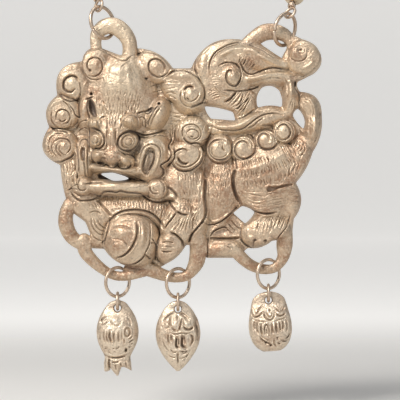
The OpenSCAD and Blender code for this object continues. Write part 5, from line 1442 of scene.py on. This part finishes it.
def settled(made, body, slot, *replaced):
    """Attaches a finished piece to its body and hides the parts it stands in for; its material slot
    is not used.
    """
    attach(made, body)
    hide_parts(*replaced)


def baked(made):
    """The piece with its modifiers turned into mesh."""
    graph = bpy.context.evaluated_depsgraph_get()
    mesh = bpy.data.meshes.new_from_object(made.evaluated_get(graph))
    made.modifiers.clear()
    made.data = mesh
    return made


# ---- Materials ----

def shader(name):
    """A new material, with its tree and its shader."""
    material = bpy.data.materials.new(name)
    material.use_nodes = True
    tree = material.node_tree
    return material, tree, tree.nodes["Principled BSDF"]


def node(tree, kind, values):
    """A new node, with values for its inputs or its settings."""
    made = tree.nodes.new(kind)
    for key, value in values.items():
        if key in made.inputs.keys():
            made.inputs[key].default_value = value
        else:
            setattr(made, key, value)
    return made


def stored(tree, key):
    """A value stored on the mesh."""
    return node(tree, "ShaderNodeAttribute", {"attribute_name": key}).outputs["Fac"]


def aged_metal(name, pale, warm, dark, roughness, grain, use_patina=True):
    """Aged metal: patches of two tones, dark in the recesses, finely pitted, with painted
    highlights and shade among the patches and recesses.
    """
    material, tree, bsdf = shader(name)
    link = tree.links.new
    bsdf.inputs["Metallic"].default_value = 0.75 if use_patina else 1.0
    where = node(tree, "ShaderNodeTexCoord", {}).outputs["Object"]

    def feed(socket, value):
        """Links a value or a colour to an input, or sets it there."""
        if isinstance(value, bpy.types.NodeSocket):
            link(value, socket)
        else:
            socket.default_value = (*value, 1) if isinstance(value, tuple) else value

    def ranged(value, low, high, to_low=0.0, to_high=1.0):
        """A value carried over from one range to another and held at its ends."""
        made = node(tree, "ShaderNodeMapRange", {"From Min": low, "From Max": high,
                                                 "To Min": to_low, "To Max": to_high})
        link(value, made.inputs["Value"])
        return made.outputs["Result"]

    def noise(scale, detail, *reach):
        """Noise over the object's own coordinates, carried over to a range."""
        made = node(tree, "ShaderNodeTexNoise", {"Scale": scale, "Detail": detail})
        link(where, made.inputs["Vector"])
        return ranged(made.outputs["Fac"], *reach)

    def mixed(share, first, second):
        """A mix of two colours."""
        made = node(tree, "ShaderNodeMix", {"data_type": "RGBA"})
        for socket, value in zip([k for k in made.inputs if k.enabled], (share, first, second)):
            feed(socket, value)
        return [k for k in made.outputs if k.enabled][0]

    def reckoned(operation, first, second):
        """One sum of two values."""
        made = node(tree, "ShaderNodeMath", {"operation": operation})
        feed(made.inputs[0], first)
        feed(made.inputs[1], second)
        return made.outputs[0]

    # pale and brown patches, more of either where the wear says so, which also paints highlights
    # pale and shade brown
    tan = tuple((a + b) / 2 for a, b in zip(pale, warm))
    browns = mixed(noise(420, 4, 0.4, 0.62), tan, warm)
    brown = noise(130, 3, 0.35, 0.65)
    if use_patina:
        brown = reckoned("ADD", brown, reckoned("MULTIPLY", stored(tree, "wear_and_light"), -0.9))
    shade = mixed(ranged(brown, -0.5, 1.1), pale, browns)
    # bright and dark specks
    shade = mixed(noise(1600, 2, 0.5, 0.64, 0, 0.6), shade, pale)
    shade = mixed(noise(1900, 2, 0.52, 0.7, 0, 0.4), shade, dark)
    rough = noise(1500, 3, 0.35, 0.65, roughness - 0.1, roughness + 0.12)
    # dark and dull in the recesses, painted shade among them, pale on what stands proud
    if use_patina:
        recess = stored(tree, "patina_and_shade")
        stain_and_shade = reckoned("ADD", recess, noise(1700, 4, 0.3, 0.7, -0.2, 0.2))
        deep = ranged(stain_and_shade, 0.08, 1.0, 0, 0.85)
        shade = mixed(deep, shade, dark)
        shade = mixed(ranged(recess, -0.05, -0.5, 0, 0.7), shade, pale)
        rough = reckoned("ADD", rough, reckoned("MULTIPLY", deep, 0.25))
    link(rough, bsdf.inputs["Roughness"])
    link(shade, bsdf.inputs["Base Color"])
    # pits
    bump = node(tree, "ShaderNodeBump", {"Strength": grain, "Distance": 0.00015})
    pits = reckoned("ADD", noise(1800, 3, 0.2, 0.8, 0, 0.9), noise(750, 3, 0.2, 0.8))
    link(pits, bump.inputs["Height"])
    link(bump.outputs["Normal"], bsdf.inputs["Normal"])
    return material


cast_metal = aged_metal("cast_metal", (0.70, 0.57, 0.42), (0.40, 0.245, 0.155),
                        (0.17, 0.14, 0.125), 0.47, 0.8)
drop_metal = aged_metal("drop_metal", (0.80, 0.69, 0.55), (0.52, 0.38, 0.27),
                        (0.19, 0.15, 0.125), 0.47, 0.7)
wire_metal = aged_metal("wire_metal", (0.72, 0.60, 0.48), (0.52, 0.38, 0.28),
                        (0.26, 0.2, 0.16), 0.46, 0.12, use_patina=False)
bead_metal = aged_metal("bead_metal", (0.78, 0.66, 0.49), (0.56, 0.42, 0.27),
                        (0.24, 0.18, 0.13), 0.38, 0.5, use_patina=False)


# ---- The pieces ----

PENDANT, NECK = "pendant", "neck_loop"
# Triangles that the lion is thinned out to
MOST_FACES = 186000
# Where the joints of the wire rings are, in degrees round each
UPPER_JOINT, LOWER_JOINT, CONNECTOR_JOINT = 200, 66, 30
# Heights of the connectors' and the lower rings' middles above the drops' holes
CONNECTOR_UP = CONNECTOR_R - 0.3
LOWER_UP = CONNECTOR_UP + CONNECTOR_R - FINE_R - LOWER_WIRE / 2 - CONNECTOR_GAP + LOWER_R
FRUITS = (("pomegranate", "left", POMEGRANATE, POMEGRANATE_AT, POMEGRANATE_CUTS,
           POMEGRANATE_SWELLS, POMEGRANATE_WEAR, CROWN),
          ("peach", "middle", PEACH, PEACH_AT, PEACH_CUTS, PEACH_SWELLS, PEACH_WEAR),
          ("melon", "right", MELON, MELON_AT, MELON_CUTS, MELON_SWELLS, MELON_WEAR))


def ring_piece(name, replaced, radius, wire, joint, matrix):
    """A jump ring of the pendant, put in its place."""
    part = moved(cut_ring(radius * MM, wire * MM, math.radians(joint)), matrix)
    settled(piece(name, *part, wire_metal), PENDANT, "wire_metal", replaced)


def chain_piece(side, where):
    """One side's chain, a link on every point of the loop."""
    spots = [on_loop(side, CHAIN_START + k * PITCH) @ turned(y=90 * (k % 2))
             for k in range(LINK_N)]
    strand = piece("link_chain_" + where, [m.translation for m in spots], [], wire_metal)
    turns = strand.data.attributes.new("turn", "FLOAT_VECTOR", "POINT")
    turns.data.foreach_set("vector", [v for m in spots for v in m.to_euler()])
    links = strand.modifiers.new("links", "NODES")
    links.node_group = link_points
    names = {k.name: k.identifier for k in link_points.interface.items_tree}
    links[names["Link"]] = link_shape
    links[names["Metal"]] = wire_metal
    baked(strand)
    strand.data.polygons.foreach_set("use_smooth", [True] * len(strand.data.polygons))
    settled(strand, NECK, "wire_metal", "chain_" + where)


vertices, polygons, tone = cast_lion()
lion = piece("lion_pendant", vertices, polygons, cast_metal, tone)
thin = lion.modifiers.new("thin", "DECIMATE")
thin.ratio = min(1, MOST_FACES / sum(len(p) - 2 for p in polygons))
baked(lion)
settled(lion, PENDANT, "cast_metal", "foo_dog_pendant")

for name, where, rows, at, *marks in FRUITS:
    vertices, polygons, tone = cast_fruit(rows, at, *marks)
    made = piece(name + "_fruit", vertices, polygons, drop_metal, tone)
    settled(made, PENDANT, "cast_metal", name + "_drop")
    hole = grid_place(at[0], at[1])
    ring_piece("jump_ring_" + where, "ring_lower_" + where, LOWER_R, LOWER_WIRE, LOWER_JOINT,
               hole @ Matrix.Translation((0, 0, LOWER_UP * MM)) @ turned(x=90, z=LOWER_TURN))
    ring_piece("small_ring_" + where, "connector_" + where, CONNECTOR_R, FINE_WIRE,
               CONNECTOR_JOINT,
               hole @ Matrix.Translation((0, 0, CONNECTOR_UP * MM)) @ turned(y=90))

link_points = link_nodes()
link_shape = piece("link_shape", *oval_link(), wire_metal)
for side, where, (x, y, turn, tip, forward) in zip((-1, 1), ("left", "right"), UPPER_RINGS):
    ring_piece("upper_ring_" + where, "ring_top_" + where, RING_R, RING_WIRE, UPPER_JOINT,
               grid_place(x, y, forward) @ turned(y=tip) @ turned(z=turn) @ turned(x=90))
    settled(piece("eye_wire_" + where, *bead_wire(side), wire_metal), NECK, "wire_metal",
            "bead_wire_" + where)
    settled(piece("round_bead_" + where, *bead(side), bead_metal), NECK, "bead_metal",
            "bead_" + where)
    chain_piece(side, where)
bpy.data.objects.remove(link_shape)
settled(piece("barrel_clasp", *clasp(), wire_metal), NECK, "wire_metal", "clasp")


# ---- Stage, light and camera ----

# The view: the cell in its middle and the cells across, then its distance and the sensor's width
VIEW_X, VIEW_Y, VIEW_CELLS = 200, 200, 400
DISTANCE, SENSOR = 0.45, 36.0

aim = grid_place(VIEW_X, VIEW_Y).to_translation()
camera = bpy.data.objects.new("camera", bpy.data.cameras.new("camera"))
bpy.context.scene.collection.objects.link(camera)
camera.location = aim + Vector((0, -DISTANCE, 0))
camera.rotation_euler = (math.pi / 2, 0, 0)
camera.data.sensor_width = SENSOR
camera.data.lens = SENSOR * DISTANCE / (VIEW_CELLS * CELL)
camera.data.clip_start = 0.01
bpy.context.scene.camera = camera


def backdrop():
    """A pale floor that turns up into a lit wall, far behind so that the back can be seen too."""
    floor_z = cad_box[0][2] - 0.012
    front_y, wall_y, bend, half_width, height = -3.0, 2.6, 0.6, 4.0, 3.2
    lit_from, lit_to, most_light = 0.0, 0.3, 0.44
    profile = [(front_y, floor_z)] + [(y, floor_z) for y in np.linspace(lit_from, lit_to, 13)]
    profile += [(wall_y - bend + bend * math.sin(a), floor_z + bend - bend * math.cos(a))
                for a in np.linspace(0, math.pi / 2, 17)]
    profile.append((wall_y, floor_z + height))
    verts = [(side * half_width, y, z) for y, z in profile for side in (-1, 1)]
    quads = [(2 * k, 2 * k + 1, 2 * k + 3, 2 * k + 2) for k in range(len(profile) - 1)]
    mesh = bpy.data.meshes.new("backdrop")
    mesh.from_pydata(verts, [], quads)
    mesh.polygons.foreach_set("use_smooth", [True] * len(quads))
    share = np.clip((np.array([v[1] for v in verts]) - lit_from) / (lit_to - lit_from), 0, 1)
    lit = mesh.attributes.new("glow", "FLOAT", "POINT")
    lit.data.foreach_set("value", most_light * share * share * (3 - 2 * share))
    made = bpy.data.objects.new("backdrop", mesh)
    bpy.context.scene.collection.objects.link(made)
    material, tree, bsdf = shader("pale_paper")
    bsdf.inputs["Base Color"].default_value = (0.8, 0.79, 0.77, 1)
    bsdf.inputs["Roughness"].default_value = 0.85
    bsdf.inputs["Specular IOR Level"].default_value = 0.1
    bsdf.inputs["Emission Color"].default_value = (1, 0.985, 0.96, 1)
    tree.links.new(stored(tree, "glow"), bsdf.inputs["Emission Strength"])
    mesh.materials.append(material)


def soft_light(name, place, size, power, color=(1, 1, 1)):
    """A soft lamp at a place from the aim, turned to it."""
    lamp = bpy.data.lights.new(name, "AREA")
    lamp.shape = "RECTANGLE"
    lamp.size, lamp.size_y = size
    lamp.energy = power
    lamp.color = color
    made = bpy.data.objects.new(name, lamp)
    made.location = aim + Vector(place)
    made.rotation_euler = (-Vector(place)).to_track_quat("-Z", "Y").to_euler()
    bpy.context.scene.collection.objects.link(made)


backdrop()
soft_light("key", (-0.3, -0.4, 0.42), (0.26, 0.2), 4.3, (1, 0.97, 0.93))
soft_light("fill", (0.5, -0.45, 0.0), (0.3, 0.3), 0.8, (0.95, 0.97, 1))
soft_light("top", (0.1, -0.1, 0.6), (0.3, 0.15), 0.8)
world = bpy.data.worlds.new("studio")
bpy.context.scene.world = world
world.use_nodes = True
around = world.node_tree.nodes["Background"]
around.inputs["Color"].default_value = (0.75, 0.77, 0.8, 1)
around.inputs["Strength"].default_value = 0.22
bpy.context.scene.view_settings.view_transform = "Standard"
